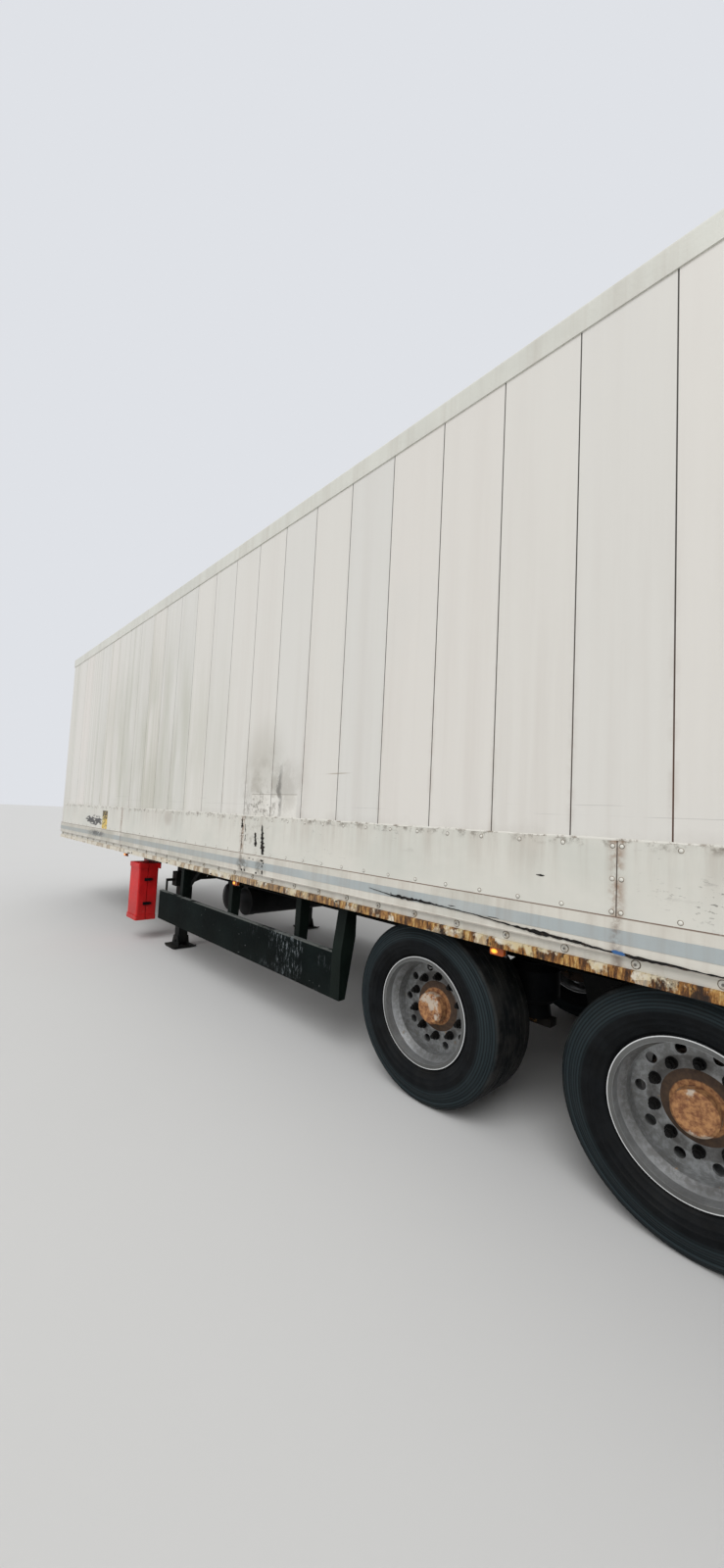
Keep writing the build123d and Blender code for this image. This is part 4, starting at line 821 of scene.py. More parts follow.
def plywood_material():
    """Dark film-faced plywood planks of the floor."""
    boards = Finish("floor boards")
    grain = boards.noise((1.2, 30.0, 30.0), 6.0, 0.65)
    stops = (
        (0.30, (0.055, 0.028, 0.014)),
        (0.55, (0.12, 0.068, 0.035)),
        (0.75, (0.20, 0.125, 0.07)),
    )
    boards.colour = boards.ramp(grain, stops)
    gap = boards.y.fold(0.10).smooth(0.0022, 0.0008)
    boards.lay(gap * 0.85, SOOT)
    worn = boards.noise((0.8, 7.0, 1.0), 7.0, 0.75).smooth(0.52, 0.62)
    boards.lay(worn * 0.45, (0.25, 0.20, 0.15))
    boards.lead("Roughness", grain.blend(0.45, 0.75))
    return boards.done(grain - gap, 0.0015)


# Finishes of the chassis and the running gear

def dark_metal(name, colour, roughness=(0.45, 0.65), rust_amount=0.16, dust=0.2, scale=10.0):
    """Black-painted chassis steel with dust and rust."""
    steel = Finish(name, specular=0.08)
    cloud = steel.noise(3.0, 5.0, 0.6)
    steel.colour = cloud.smooth(0.35, 0.7).mix(colour, scaled(colour, 1.9))
    _, swelling = steel.rusted(rust_amount, scale, 0.7)
    steel.dusted(dust)
    return steel.done(steel.grained(90.0, *roughness) + swelling, 0.0015)


def bare_metal(name, colour, roughness=(0.3, 0.5), rust_amount=0.14):
    """Galvanised or silver-painted metal."""
    metal = Finish(name)
    cells = {"Vector": metal.place, "Scale": 60.0}
    spangle = metal.value("ShaderNodeTexVoronoi", cells, "Color")
    metal.colour = metal.split(spangle)[0].mix(scaled(colour, 0.82), colour)
    rust, swelling = metal.rusted(rust_amount, 16.0)
    covered = largest(rust, metal.dusted(0.3))
    metal.lead("Metallic", covered.blend(0.75, 0.0))
    return metal.done(metal.grained(70.0, *roughness) + swelling, 0.0008)


def guard_material(paint):
    """Black guard panel with a painted highlight along its top edge, scratched near its rear end."""
    guard = Finish("guard black", specular=0.05)
    cloud = guard.noise(2.2, 5.0, 0.6)
    guard.colour = cloud.smooth(0.35, 0.7).mix(paint.guard, scaled(paint.guard, 2.2))
    # Painted highlight: a broken light line along the top edge
    top = guard.z.smooth(GUARD_HIGH.z - 0.010, GUARD_HIGH.z - 0.003)
    fine = guard.noise((3.0, 3.0, 40.0), 6.0, 0.75)
    guard.lay(top * fine.smooth(0.40, 0.52) * 0.6, (0.20, 0.21, 0.20))
    near = guard.x.smooth(GUARD_LOW.x + 1.3, GUARD_LOW.x + 0.3)
    area = guard.noise(3.4, 2.0).smooth(0.45, 0.6)
    scratch = guard.noise((55.0, 8.0, 11.0), 8.0, 0.8).smooth(0.54, 0.60)
    guard.lay(near * area * scratch * 0.75, (0.26, 0.29, 0.31))
    chips = guard.noise(38.0, 2.0).smooth(0.73, 0.77)
    guard.lay(chips * 0.5, (0.25, 0.26, 0.26))
    guard.lay(guard.grime(GUARD_HIGH.z - 0.1, 0.6, 0.35) * 0.05, MUD)
    return guard.done(cloud + guard.grained(40.0, 0.6, 0.8) * 0.1, 0.004)


def cabinet_material(paint):
    """Red cabinet, scuffed and dusty, under its black hanger."""
    red = Finish("cabinet red", specular=0.25)
    cloud = red.noise(4.0, 4.0, 0.6)
    red.colour = cloud.smooth(0.35, 0.75).mix(paint.cabinet, scaled(paint.cabinet, 0.72))
    scuff = red.noise((9.0, 9.0, 30.0), 6.0, 0.75).smooth(0.60, 0.66)
    red.lay(scuff * 0.35, (0.62, 0.20, 0.17))
    red.lay(red.grime(0.55, 0.5, 0.3) * 0.35, (0.16, 0.06, 0.045))
    hanger = red.z.smooth(COVER_HIGH.z + 0.0002, COVER_HIGH.z + 0.001)
    red.lay(hanger, (0.006, 0.007, 0.007))
    return red.done(red.grained(160.0, 0.32, 0.5), 0.0006)


def rubber_material(name, dust=0.1, centre=None):
    """Black rubber, dusty where it faces up; a tyre has bluish rings of painted sheen round its centre.
    """
    rubber = Finish(name, specular=0.08)
    black = (0.0036, 0.0043, 0.005)
    cloud = rubber.noise(9.0, 5.0, 0.65)
    rubber.colour = cloud.smooth(0.35, 0.7).mix(black, scaled(black, 2.0))
    if centre is not None:
        # Painted sheen: lighter bluish rings on the outer sidewall
        radius = rubber.from_axle(centre)
        lines = radius.fold(SHEEN_RING_HALF_PITCH).smooth(0.0015, 0.004)
        outer = radius.between(*TYRE_SHEEN_RINGS, 0.03) * lines.blend(0.3, 1.0)
        rubber.lay(outer * 0.9, (0.021, 0.031, 0.035))
        tread = radius.smooth(*TREAD_SIDE) * cloud.smooth(0.35, 0.65)
        rubber.lay(tread * 0.4, (0.05, 0.047, 0.042))
    rubber.dusted(dust, 0.6)
    return rubber.done(rubber.grained(120.0, 0.48, 0.72), 0.001)


def wheel_material(name, centre):
    """Silver rim with a painted highlight along its edge and painted shade on the face inside it, a
    dirty disc and a rusty hub.
    """
    wheel = Finish(name)
    radius = wheel.from_axle(centre)
    outward = abs(wheel.y) - abs(centre.y)
    cloud = wheel.noise(7.0, 6.0, 0.65)
    speck = wheel.noise(45.0, 5.0, 0.7)
    wheel.colour = cloud.smooth(0.35, 0.7).mix((0.36, 0.37, 0.375), (0.23, 0.235, 0.235))
    dirty = radius.between(*HAND_HOLES, 0.02) * speck.smooth(0.35, 0.6)
    wheel.lay(dirty * 0.5, GAP)
    # Brake dust blown out of the hand holes and round the nuts
    ring = radius.between(*NUT_RING, 0.012) * cloud.smooth(0.3, 0.6)
    wheel.lay(ring * 0.7, (0.055, 0.05, 0.045))
    # Painted shade on the rim's face and a painted highlight along its edge
    wheel.lay(radius.between(*RIM_SHADED_FACE, 0.002) * 0.8, (0.085, 0.085, 0.08))
    wheel.lay(radius.smooth(*RIM_HIGHLIGHT) * 0.95, (0.90, 0.91, 0.91))
    rust, rust_colour, swelling = wheel.group("Rust", Amount=0.25, Scale=20.0)
    chips = rust * radius.smooth(*CHIPPED_RIM) * 0.8
    wheel.lay(chips, rust_colour)
    # Rusty hub, paler at its end and grimy round its foot
    orange = speck.smooth(0.35, 0.65).mix((0.17, 0.065, 0.028), (0.42, 0.21, 0.085))
    pale = cloud.smooth(0.52, 0.58) * outward.smooth(0.03, 0.06)
    orange = (pale * 0.7).mix(orange, (0.55, 0.50, 0.42))
    orange = (radius.smooth(*HUB_FOOT) * 0.88).mix(orange, (0.035, 0.026, 0.02))
    hub = radius.smooth(*HUB_RIM)
    wheel.lay(hub, orange)
    drum = outward.smooth(-0.012, -0.02) * radius.smooth(*DRUM_RIM)
    wheel.lay(drum, (0.05, 0.03, 0.02))
    dull = largest(hub, drum, chips)
    wheel.lead("Metallic", dull.blend(0.6, 0.0))
    wheel.lead("Roughness", largest(dull, cloud * 0.6).blend(0.26, 0.85))
    return wheel.done(speck * 0.3 + swelling, 0.0015)


def marker_material():
    """Amber side marker on its black plate, with a small light behind the lens."""
    marker = Finish("side marker", 0.25)
    rib = marker.x.fold(0.005).smooth(0.0, 0.005)
    face = abs(marker.y).smooth(MARKER_FACE - 0.0005, MARKER_FACE + 0.0005)
    lens = marker.z.between(*MARKER_LENS, 0.002) * face
    amber = rib.mix((0.30, 0.050, 0.006), (0.42, 0.085, 0.008))
    marker.colour = lens.mix((0.015, 0.016, 0.017), amber)
    lit = largest(*[marker.spot((at - GLOW_FORWARD, *GLOW)) for at in MARKERS_AT])
    marker.lead("Emission Color", (1.0, 0.36, 0.03))
    marker.lead("Emission Strength", lit * lens * 2.4)
    return marker.done(rib, 0.001)


def lamp_material():
    """Rear lamps: black bodies with red, amber and red lenses."""
    lamp = Finish("rear lamps", 0.22)
    lens = lamp.x.smooth(LAMP_FACE + 0.0015, LAMP_FACE)
    amber = abs(lamp.y).between(*AMBER_LENS, 0.001)
    glass = amber.mix((0.42, 0.008, 0.006), (0.75, 0.20, 0.012))
    lamp.colour = lens.mix((0.014, 0.014, 0.015), glass)
    ribs = [across.fold(0.004).smooth(0.0, 0.004) for across in (lamp.z, lamp.y)]
    return lamp.done((ribs[0] + ribs[1]) * lens, 0.001)


# Finishes of the damage and the fasteners

def torn_material():
    """Torn metal and rubber, near black with a little rust."""
    torn = Finish("torn black", 0.75, specular=0.2)
    speck = torn.noise(60.0, 5.0, 0.7)
    torn.colour = speck.smooth(0.5, 0.72).mix((0.007, 0.0065, 0.006), (0.045, 0.03, 0.02))
    return torn.done(speck, 0.001)


def rag_material():
    """Blue plastic rag, faded and dusty."""
    rag = Finish("blue rag")
    blue = (0.03, 0.12, 0.32)
    rag.colour = rag.noise(4.0, 4.0, 0.6).smooth(0.35, 0.75).mix(blue, scaled(blue, 0.75))
    rag.dusted(0.2)
    return rag.done(rag.grained(160.0, 0.5, 0.7), 0.0006)


def label_material():
    """Yellowed bare label with black smears."""
    label = Finish("bare label", 0.55)
    cloud = label.noise(9.0, 4.0)
    label.colour = cloud.smooth(0.4, 0.7).mix((0.70, 0.47, 0.08), (0.62, 0.52, 0.22))
    upper = label.z.smooth(LABEL[1] - 0.06, LABEL[1] + 0.11)
    torn = label.noise((14.0, 4.0, 30.0), 6.0, 0.72) + upper * 0.14
    label.lay(torn.smooth(0.53, 0.58) * 0.9, SOOT)
    return label.done()


def sealant_material():
    """Pale sealant with dirt caught on it."""
    sealant = Finish("sealant", 0.6)
    speck = sealant.noise((11.0, 4.0, 11.0), 6.0, 0.75)
    dirt = speck.smooth(0.50, 0.62) * 0.8
    sealant.colour = dirt.mix((0.68, 0.665, 0.61), (0.17, 0.13, 0.09))
    return sealant.done(speck, 0.001)


def washer_material(pitch, height):
    """Pale washers in a row at one height, each round a dark screw."""
    zinc = Finish("washer zinc", 0.45, 0.3)
    radius = length((zinc.distance - WASHERS_FROM).fold(pitch / 2), zinc.z - height)
    speck = zinc.noise(40.0, 4.0, 0.7)
    zinc.colour = speck.smooth(0.45, 0.65).mix((0.66, 0.65, 0.60), (0.40, 0.33, 0.24))
    zinc.lay(radius.smooth(0.0062, 0.0050) * 0.85, (0.07, 0.06, 0.05))
    return zinc.done(speck, 0.0006)


def shade_and_dirt_ring_material(name):
    """Dark ring round a fastener's head: painted shade, with some dirt mixed in."""
    ring = Finish(name, 0.8, specular=0.2)
    dirt = ring.noise(30.0, 4.0, 0.7).smooth(0.4, 0.6)
    ring.colour = dirt.mix((0.12, 0.10, 0.075), (0.30, 0.26, 0.21))
    return ring.done()


def dress(material, *nodes):
    """Gives frame nodes their finish."""
    for name in nodes:
        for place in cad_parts[name].material_slots:
            place.material = material


# Meshes

def add_piece(name, mesh, body, materials=(), replaced=()):
    """Puts a finished mesh into the scene, riding on its body."""
    piece = bpy.data.objects.new(name, mesh)
    bpy.context.scene.collection.objects.link(piece)
    for material in materials:
        mesh.materials.append(material)
    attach(piece, body)
    if replaced:
        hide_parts(*replaced)


def mesh_from(name, build):
    """Mesh that build(bm) fills, smooth apart from its sharp edges."""
    mesh = bpy.data.meshes.new(name)
    bm = bmesh.new()
    build(bm)
    bmesh.ops.remove_doubles(bm, verts=bm.verts, dist=1e-6)
    bmesh.ops.recalc_face_normals(bm, faces=bm.faces)
    for face in bm.faces:
        face.smooth = True
    for edge in bm.edges:
        if len(edge.link_faces) == 2:
            edge.smooth = edge.calc_face_angle(0.0) < SHARP_ANGLE
    bm.to_mesh(mesh)
    bm.free()
    return mesh


def skin(bm, rings, dark=None, ends=True):
    """Faces between rings of vertices; one band may be dark, and the ends closed."""
    for here, there in zip(rings, rings[1:]):
        for index in range(len(here)):
            after = (index + 1) % len(here)
            face = bm.faces.new((here[index], here[after], there[after], there[index]))
            face.material_index = int(index == dark)
    if ends:
        bm.faces.new(rings[0])
        bm.faces.new(rings[-1])


def lathe(bm, profile, centre, side, steps):
    """Closed ring turned about an axle line; the profile holds (radius, outward) points."""
    rings = []
    for step in range(steps):
        angle = 2 * math.pi * step / steps
        ring = []
        for radius, outward in profile:
            turned = Vector((radius * math.cos(angle), side * outward, radius * math.sin(angle)))
            ring.append(bm.verts.new(centre + turned))
        rings.append(ring)
    skin(bm, rings + rings[:1], ends=False)


def rows_along(spine, ragged, step, dice):
    """Middle, way across and ragged half widths along (distance, height, half width) points."""
    rows = []
    for (from_d, from_z, from_w), (to_d, to_z, to_w) in zip(spine, spine[1:]):
        run, rise = to_d - from_d, to_z - from_z
        span = math.hypot(run, rise)
        count = max(1, round(span / step))
        for index in range(count):
            share = index / count
            half = from_w + (to_w - from_w) * share
            near = half * (1 + ragged * dice.uniform(-1, 1))
            far = half * (1 + ragged * dice.uniform(-1, 1))
            middle = (from_d + run * share, from_z + rise * share)
            rows.append((middle, (-rise / span, run / span), near, far))
    return rows


def strip(bm, rows, shape, dark=None):
    """Closed strip on the left side; shape holds (side, reach beyond the edge, y) points."""
    rings = []
    for middle, across, near, far in rows:
        ring = []
        for side, reach, y in shape:
            offset = side * ((far if side > 0 else near) + reach)
            x = X_FRONT - middle[0] - across[0] * offset
            ring.append(bm.verts.new((x, y, middle[1] + across[1] * offset)))
        rings.append(ring)
    skin(bm, rings, dark)


def blob(bm, mark, low, high, dice):
    """Ragged flat chip on the left side, from y = low to y = high."""
    distance, height, half_length, half_height = mark
    rims = ([], [])
    for index in range(MARK_CORNERS):
        angle = 2 * math.pi * index / MARK_CORNERS
        reach = dice.uniform(0.55, 1.0)
        x = X_FRONT - distance - half_length * reach * math.cos(angle)
        z = height + half_height * reach * math.sin(angle)
        for rim, y in zip(rims, (low, high)):
            rim.append(bm.verts.new((x, y, z)))
    skin(bm, rims)


def bar(bm, low, high):
    """Box between two corners."""
    rims = []
    for x in (low[0], high[0]):
        corners = ((low[1], low[2]), (high[1], low[2]), (high[1], high[2]), (low[1], high[2]))
        rims.append([bm.verts.new((x, y, z)) for y, z in corners])
    skin(bm, rims)


# Fasteners by geometry nodes

def stand_on_places(graph, given, end, shape):
    """Instances a shape on the given points, turned to each point's facing, and realizes it."""
    named = {"Name": "facing"}
    facing = graph.value("GeometryNodeInputNamedAttribute", named, data_type="FLOAT_VECTOR")
    turn = graph.value("FunctionNodeAlignRotationToVector", {"Vector": facing}, axis="Z")
    inputs = {"Points": given["Geometry"], "Instance": shape, "Rotation": turn}
    placed = graph.value("GeometryNodeInstanceOnPoints", inputs)
    solid = graph.value("GeometryNodeRealizeInstances", {"Geometry": placed})
    inputs = {"Geometry": solid, "Material": given["Finish"]}
    graph.put(end[0], graph.value("GeometryNodeSetMaterial", inputs))


def upright_cylinder(graph, sides, radius, low, high):
    """Cylinder along Z between two heights."""
    inputs = {"Vertices": sides, "Radius": radius, "Depth": high - low}
    cylinder = graph.value("GeometryNodeMeshCylinder", inputs)
    shift = graph.value("ShaderNodeCombineXYZ", {2: (high + low) * 0.5})
    return graph.value("GeometryNodeTransform", {"Geometry": cylinder, "Translation": shift})


def tree_rivets():
    """Dome rivets."""
    inputs = {"Geometry": None, "Radius": 0.008, "Height": 0.005, "Finish": None}
    graph, given, end = new_tree("GeometryNodeTree", "Dome rivets", inputs, ["Geometry"])
    ball = graph.value("GeometryNodeMeshUVSphere", {"Segments": 12, "Rings": 6, "Radius": 1.0})
    reach = {0: given["Radius"], 1: given["Radius"], 2: given["Height"]}
    size = graph.value("ShaderNodeCombineXYZ", reach)
    dome = graph.value("GeometryNodeTransform", {"Geometry": ball, "Scale": size})
    stand_on_places(graph, given, end, dome)


def tree_bolts():
    """Bolts: a washer, a hexagon nut and the stud's end."""
    inputs = {
        "Geometry": None,
        "Washer Radius": 0.015, "Washer Thickness": 0.003,
        "Nut Radius": 0.01, "Nut Height": 0.01,
        "Stud Radius": 0.005, "Stud Height": 0.016,
        "Finish": None,
    }
    graph, given, end = new_tree("GeometryNodeTree", "Bolts", inputs, ["Geometry"])
    face, top = given["Washer Thickness"], given["Nut Height"]
    joined = graph.node("GeometryNodeJoinGeometry")
    for sides, radius, low, high in (
        (18, "Washer Radius", -0.001, face),
        (6, "Nut Radius", face, top),
        (10, "Stud Radius", top, given["Stud Height"]),
    ):
        part = upright_cylinder(graph, sides, given[radius], low, high)
        graph.put(joined.inputs[0], part)
    stand_on_places(graph, given, end, Value(graph, joined.outputs[0]))


def grown(name, tree_name, places, body, slot, **inputs):
    """Runs a tree on (place, facing) points and keeps the result as a plain mesh."""
    points = bpy.data.meshes.new(name + " places")
    points.from_pydata([place for place, _ in places], [], [])
    facing = points.attributes.new("facing", "FLOAT_VECTOR", "POINT")
    facing.data.foreach_set("vector", [part for _, way in places for part in way])
    seed = bpy.data.objects.new(name + " places", points)
    bpy.context.scene.collection.objects.link(seed)
    modifier = seed.modifiers.new("Fasteners", "NODES")
    modifier.node_group = bpy.data.node_groups[tree_name]
    for item in modifier.node_group.interface.items_tree:
        key = item.name.replace(" ", "_").lower()
        if item.in_out == "INPUT" and key in inputs:
            modifier[item.identifier] = inputs[key]
    depsgraph = bpy.context.evaluated_depsgraph_get()
    mesh = bpy.data.meshes.new_from_object(seed.evaluated_get(depsgraph), depsgraph=depsgraph)
    bpy.data.objects.remove(seed)
    if not mesh.vertices:
        raise RuntimeError(f"{name} came out empty")
    mesh.name = name
    add_piece(name, mesh, body)


class TRAILER_OT_effects(bpy.types.Operator):
    """Builds the shared node groups"""

    bl_idname = "trailer.effects"
    bl_label = "Shared Effects"

    def execute(self, context):
        shaders = (group_streaks, group_grime, group_rust, group_grain, group_dust)
        for build in shaders + (tree_rivets, tree_bolts):
            build()
        return {"FINISHED"}


class TRAILER_OT_box_finish(bpy.types.Operator):
    """Paints the walls, rails, roof, frame, doors and floor"""

    bl_idname = "trailer.box_finish"
    bl_label = "Box Finish"

    def execute(self, context):
        paint, wear = context.scene.trailer_paint, context.scene.trailer_wear
        dress(wall_material(paint, wear), "side_wall_left", "side_wall_right")
        dress(kick_material(paint, wear), "kick_plates")
        dress(rail_material(paint, wear), "side_rails")
        dress(edge_material(paint, wear), "rail_edges")
        dress(cream_material("top rails", (0.66, 0.66, 0.60), wear, 0.1, 1.0), "top_rails")
        dress(front_material(paint), "front_wall")
        dress(roof_material(), "roof")
        dress(cream_material("door frame", (0.60, 0.58, 0.52), wear, 0.24, 1.6), "rear_frame")
        door_skin = cream_material("door skin", (0.68, 0.66, 0.60), wear, 0.1, 1.9)
        dress(door_skin, "rear_door_left", "rear_door_right")
        dress(plywood_material(), "floor_deck")
        return {"FINISHED"}


class TRAILER_OT_chassis_finish(bpy.types.Operator):
    """Paints the chassis, guards, cabinet, lamps and fittings"""

    bl_idname = "trailer.chassis_finish"
    bl_label = "Chassis Finish"

    def execute(self, context):
        paint = context.scene.trailer_paint
        black = dark_metal("chassis black", (0.0045, 0.005, 0.005), dust=0.1)
        dress(black, "main_beams", "suspension_hangers", "cross_members", "rear_bumper")
        tank = dark_metal("tank black", (0.010, 0.0105, 0.011), (0.3, 0.5), 0.1, 0.14)
        dress(tank, "air_tanks")
        axle = dark_metal("axle black", (0.012, 0.011, 0.010), rust_amount=0.40, dust=0.3)
        dress(axle, "axles", "trailing_arms")
        legs = dark_metal("landing gear black", (0.009, 0.010, 0.010), rust_amount=0.24)
        dress(legs, "landing_gear")
        dress(dark_metal("skid steel", (0.06, 0.055, 0.05), (0.3, 0.5), 0.3, 0.1), "coupler")
        green = (0.0034, 0.0062, 0.005)
        dress(dark_metal("bracket green-black", green, (0.45, 0.65), 0.14, 0.05), "guard_brackets")
        dress(guard_material(paint), "side_guards")
        zinc = bare_metal("galvanised", (0.50, 0.51, 0.52))
        dress(zinc, "locking_bars_left", "locking_bars_right", "front_couplings")
        dress(cabinet_material(paint), "fire_cabinet", "fire_cabinet_cover")
        dress(rubber_material("bellows rubber"), "air_springs")
        dress(rubber_material("buffer rubber", 0.15), "rear_buffers", "mud_flaps")
        dress(lamp_material(), "rear_lamps")
        dress(marker_material(), "side_markers")
        return {"FINISHED"}


def each_wheel():
    """Label, side, centre and half size of every wheel with its tyre."""
    for axle in AXLES:
        for label, side in SIDES:
            low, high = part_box(f"tyre_{axle}_{label}")
            yield f"{axle}_{label}", side, (low + high) / 2, (high - low) / 2


def tyre_profile(sizes, half_width, radius):
    """Outline of a tyre, from bead to bead over the tread: (radius, outward) points."""
    half = list(BEAD)
    for step in range(SIDEWALL_STEPS + 1):
        share = step / SIDEWALL_STEPS
        outward = half_width - SIDEWALL_BULGE * (2 * share - 1.12) ** 2
        if step % 6 in (2, 3):
            outward += sizes.ridge_height
        at = SIDEWALL_FROM + (SIDEWALL_TO - SIDEWALL_FROM) * share
        half.append((at, min(outward, half_width)))
    half += [(at, half_width - inward) for at, inward in SHOULDER]
    tread = half_width - TREAD_INSET
    half += [(radius - 0.008, half_width - 0.034), (radius - TREAD_DROP, tread)]
    points = list(half)
    spacing = 2 * tread / (sizes.grooves + 1)
    wall = sizes.groove_width / 2
    foot = wall * 0.6
    low = radius - sizes.groove_depth
    for index in range(sizes.grooves):
        centre = tread - spacing * (index + 1)
        crown = radius - TREAD_DROP * (centre / tread) ** 2
        points += [(crown, centre + wall), (low, centre + foot)]
        points += [(low, centre - foot), (crown, centre - wall)]
    return points + [(at, -outward) for at, outward in reversed(half)]


class TRAILER_OT_tyres(bpy.types.Operator):
    """Makes the six tyres with their tread and sidewall rings"""

    bl_idname = "trailer.tyres"
    bl_label = "Tyres"

    def execute(self, context):
        sizes = context.scene.trailer_tyres
        for label, side, centre, half in each_wheel():
            profile = tyre_profile(sizes, half.y, half.z)
            name = f"tyre_tread_{label}"
            mesh = mesh_from(name, lambda bm: lathe(bm, profile, centre, side, sizes.steps))
            finish = rubber_material(name + " rubber", centre=centre)
            add_piece(name, mesh, f"wheel_{label}", [finish], [f"tyre_{label}"])
        return {"FINISHED"}


class TRAILER_OT_wheels(bpy.types.Operator):
    """Finishes the wheels and sets their nuts"""

    bl_idname = "trailer.wheels"
    bl_label = "Wheels"

    def execute(self, context):
        sizes = context.scene.trailer_fasteners
        dark = dark_metal("wheel nut steel", (0.005, 0.005, 0.005), (0.3, 0.5), 0.14, 0.05, 40.0)
        for label, side, centre, _ in each_wheel():
            name = f"wheel_{label}"
            dress(wheel_material(f"{name} silver", centre), name)
            places = []
            for index in range(sizes.nuts_per_wheel):
                angle = 2 * math.pi * (index + 0.5) / sizes.nuts_per_wheel
                across = sizes.nut_circle * math.cos(angle)
                up = sizes.nut_circle * math.sin(angle)
                places.append((centre + Vector((across, side * 0.010, up)), (0, side, 0)))
            grown(
                f"wheel_nuts_{label}", "Bolts", places, name, "rim_silver", finish=dark,
                washer_radius=0.024, washer_thickness=0.006, nut_radius=0.0185,
                nut_height=0.030, stud_radius=0.011, stud_height=0.046,
            )
        return {"FINISHED"}


class TRAILER_OT_rivets(bpy.types.Operator):
    """Sets the rivets of the kick plates and the front wall"""

    bl_idname = "trailer.rivets"
    bl_label = "Rivets"

    def execute(self, context):
        sizes, wear = context.scene.trailer_fasteners, context.scene.trailer_wear
        radius, height = sizes.rivet_radius, sizes.rivet_height
        paint = cream_material("rivet paint", (0.72, 0.71, 0.65), wear, 0.22, 0.0)
        # Dark rings round the rivets: painted shade with some dirt
        dirt = shade_and_dirt_ring_material("rivet dirt")
        plate = self.plate_places(sizes)
        for name, places, slot, wide, high, finish in (
            ("kick_plate_rivets", plate, "kick_plate", radius, height, paint),
            ("front_wall_rivets", self.front_places(), "wall_cream", radius * 0.85, height, paint),
            ("rivet_dirt", plate, "kick_plate", radius * 1.3, 0.0008, dirt),
        ):
            grown(name, "Dome rivets", places, "trailer", slot, radius=wide, height=high, finish=finish)
        return {"FINISHED"}

    def plate_places(self, sizes):
        """Places along the head and foot of every kick plate and down its ends."""
        rows = (KICK_HIGH.z - ROW_FROM_TOP, KICK_LOW.z + ROW_FROM_FOOT)
        reach = SHEET_LENGTH - 2 * sizes.joint_offset
        places = []
        for _, side in SIDES:
            start = X_FRONT - sizes.joint_offset
            while start > KICK_LOW.x:
                end = max(start - reach, KICK_LOW.x + sizes.joint_offset)
                pitches = (start - end) / reach * (sizes.rivets_per_sheet - 1)
                count = max(2, round(pitches) + 1)
                along = [start + (end - start) * index / (count - 1) for index in range(count)]
                spots = [(x, z) for x in along for z in rows if x <= KICK_HIGH.x - sizes.rivet_radius]
                spots += [(x, sum(rows) / 2) for x in (start, end) if x < KICK_HIGH.x]
                places += [((x, side * KICK_HIGH.y, z), (0, side, 0)) for x, z in spots]
                start -= SHEET_LENGTH
        return places

    def front_places(self):
        """Places down both sides of the front wall's seams."""
        low, high = FRONT_LOW.z + FROM_SEAM_END, FRONT_HIGH.z - FROM_SEAM_END
        places = []
        for seam in FRONT_SEAMS:
            for beside in (-BESIDE_SEAM, BESIDE_SEAM):
                for step in range(FRONT_RIVETS):
                    z = low + (high - low) * step / (FRONT_RIVETS - 1)
                    places.append(((X_FRONT, seam * FRONT_SHEET + beside, z), (1, 0, 0)))
        return places


class TRAILER_OT_washers(bpy.types.Operator):
    """Sets the washers in the channel of the side rails"""

    bl_idname = "trailer.washers"
    bl_label = "Washers"

    def execute(self, context):
        sizes = context.scene.trailer_fasteners
        height = (EDGE_HIGH.z + FACE_LOW) / 2
        places = []
        for _, side in SIDES:
            x = X_FRONT - WASHERS_FROM
            while x > RAIL_LOW.x + 0.05:
                places.append(((x, side * CHANNEL_FACE, height), (0, side, 0)))
                x -= sizes.washer_pitch
        # Dark rings round the washers: painted shade with some dirt
        grown(
            "washer_dirt", "Dome rivets", places, "trailer", "rail_cream",
            radius=sizes.washer_radius * 1.3, height=0.0012, finish=shade_and_dirt_ring_material("washer dirt"),
        )
        grown(
            "rail_washers", "Bolts", places, "trailer", "rail_cream",
            washer_radius=sizes.washer_radius, washer_thickness=0.003, nut_radius=0.0075,
            nut_height=0.008, stud_radius=0.0035, stud_height=0.010,
            finish=washer_material(sizes.washer_pitch, height),
        )
        return {"FINISHED"}


class TRAILER_OT_bolts(bpy.types.Operator):
    """Sets the bolts of the door hinges and the nuts of the axle clamps"""

    bl_idname = "trailer.bolts"
    bl_label = "Bolts"

    def execute(self, context):
        zinc = bare_metal("bolt zinc", (0.48, 0.48, 0.47), (0.35, 0.55), 0.3)
        dark = dark_metal("bolt steel", (0.02, 0.018, 0.016), (0.4, 0.6), 0.45, 0.2, 40.0)
        x = DOOR_FACE - BLADE_THICKNESS
        clamps = []
        for label, side in SIDES:
            across = [side * (DOOR_HIGH.y - inward) for inward in HINGE_BOLTS]
            places = [((x, y, height), (-1, 0, 0)) for height in HINGES_AT for y in across]
            grown(
                f"hinge_bolts_{label}", "Dome rivets", places, f"door_{label}", "door_cream",
                radius=0.011, height=0.004, finish=zinc,
            )
        for _, side, centre, _ in each_wheel():
            for along in (-CLAMP_ALONG, CLAMP_ALONG):
                for across in (-CLAMP_ACROSS, CLAMP_ACROSS):
                    place = (centre.x + along, side * (CLAMP_Y + across), CLAMP_FOOT)
                    clamps.append((place, (0, 0, -1)))
        grown(
            "axle_clamp_nuts", "Bolts", clamps, "trailer", "chassis_black", finish=dark,
            washer_radius=0.017, washer_thickness=0.004, nut_radius=0.014,
            nut_height=0.020, stud_radius=0.008, stud_height=0.034,
        )
        return {"FINISHED"}


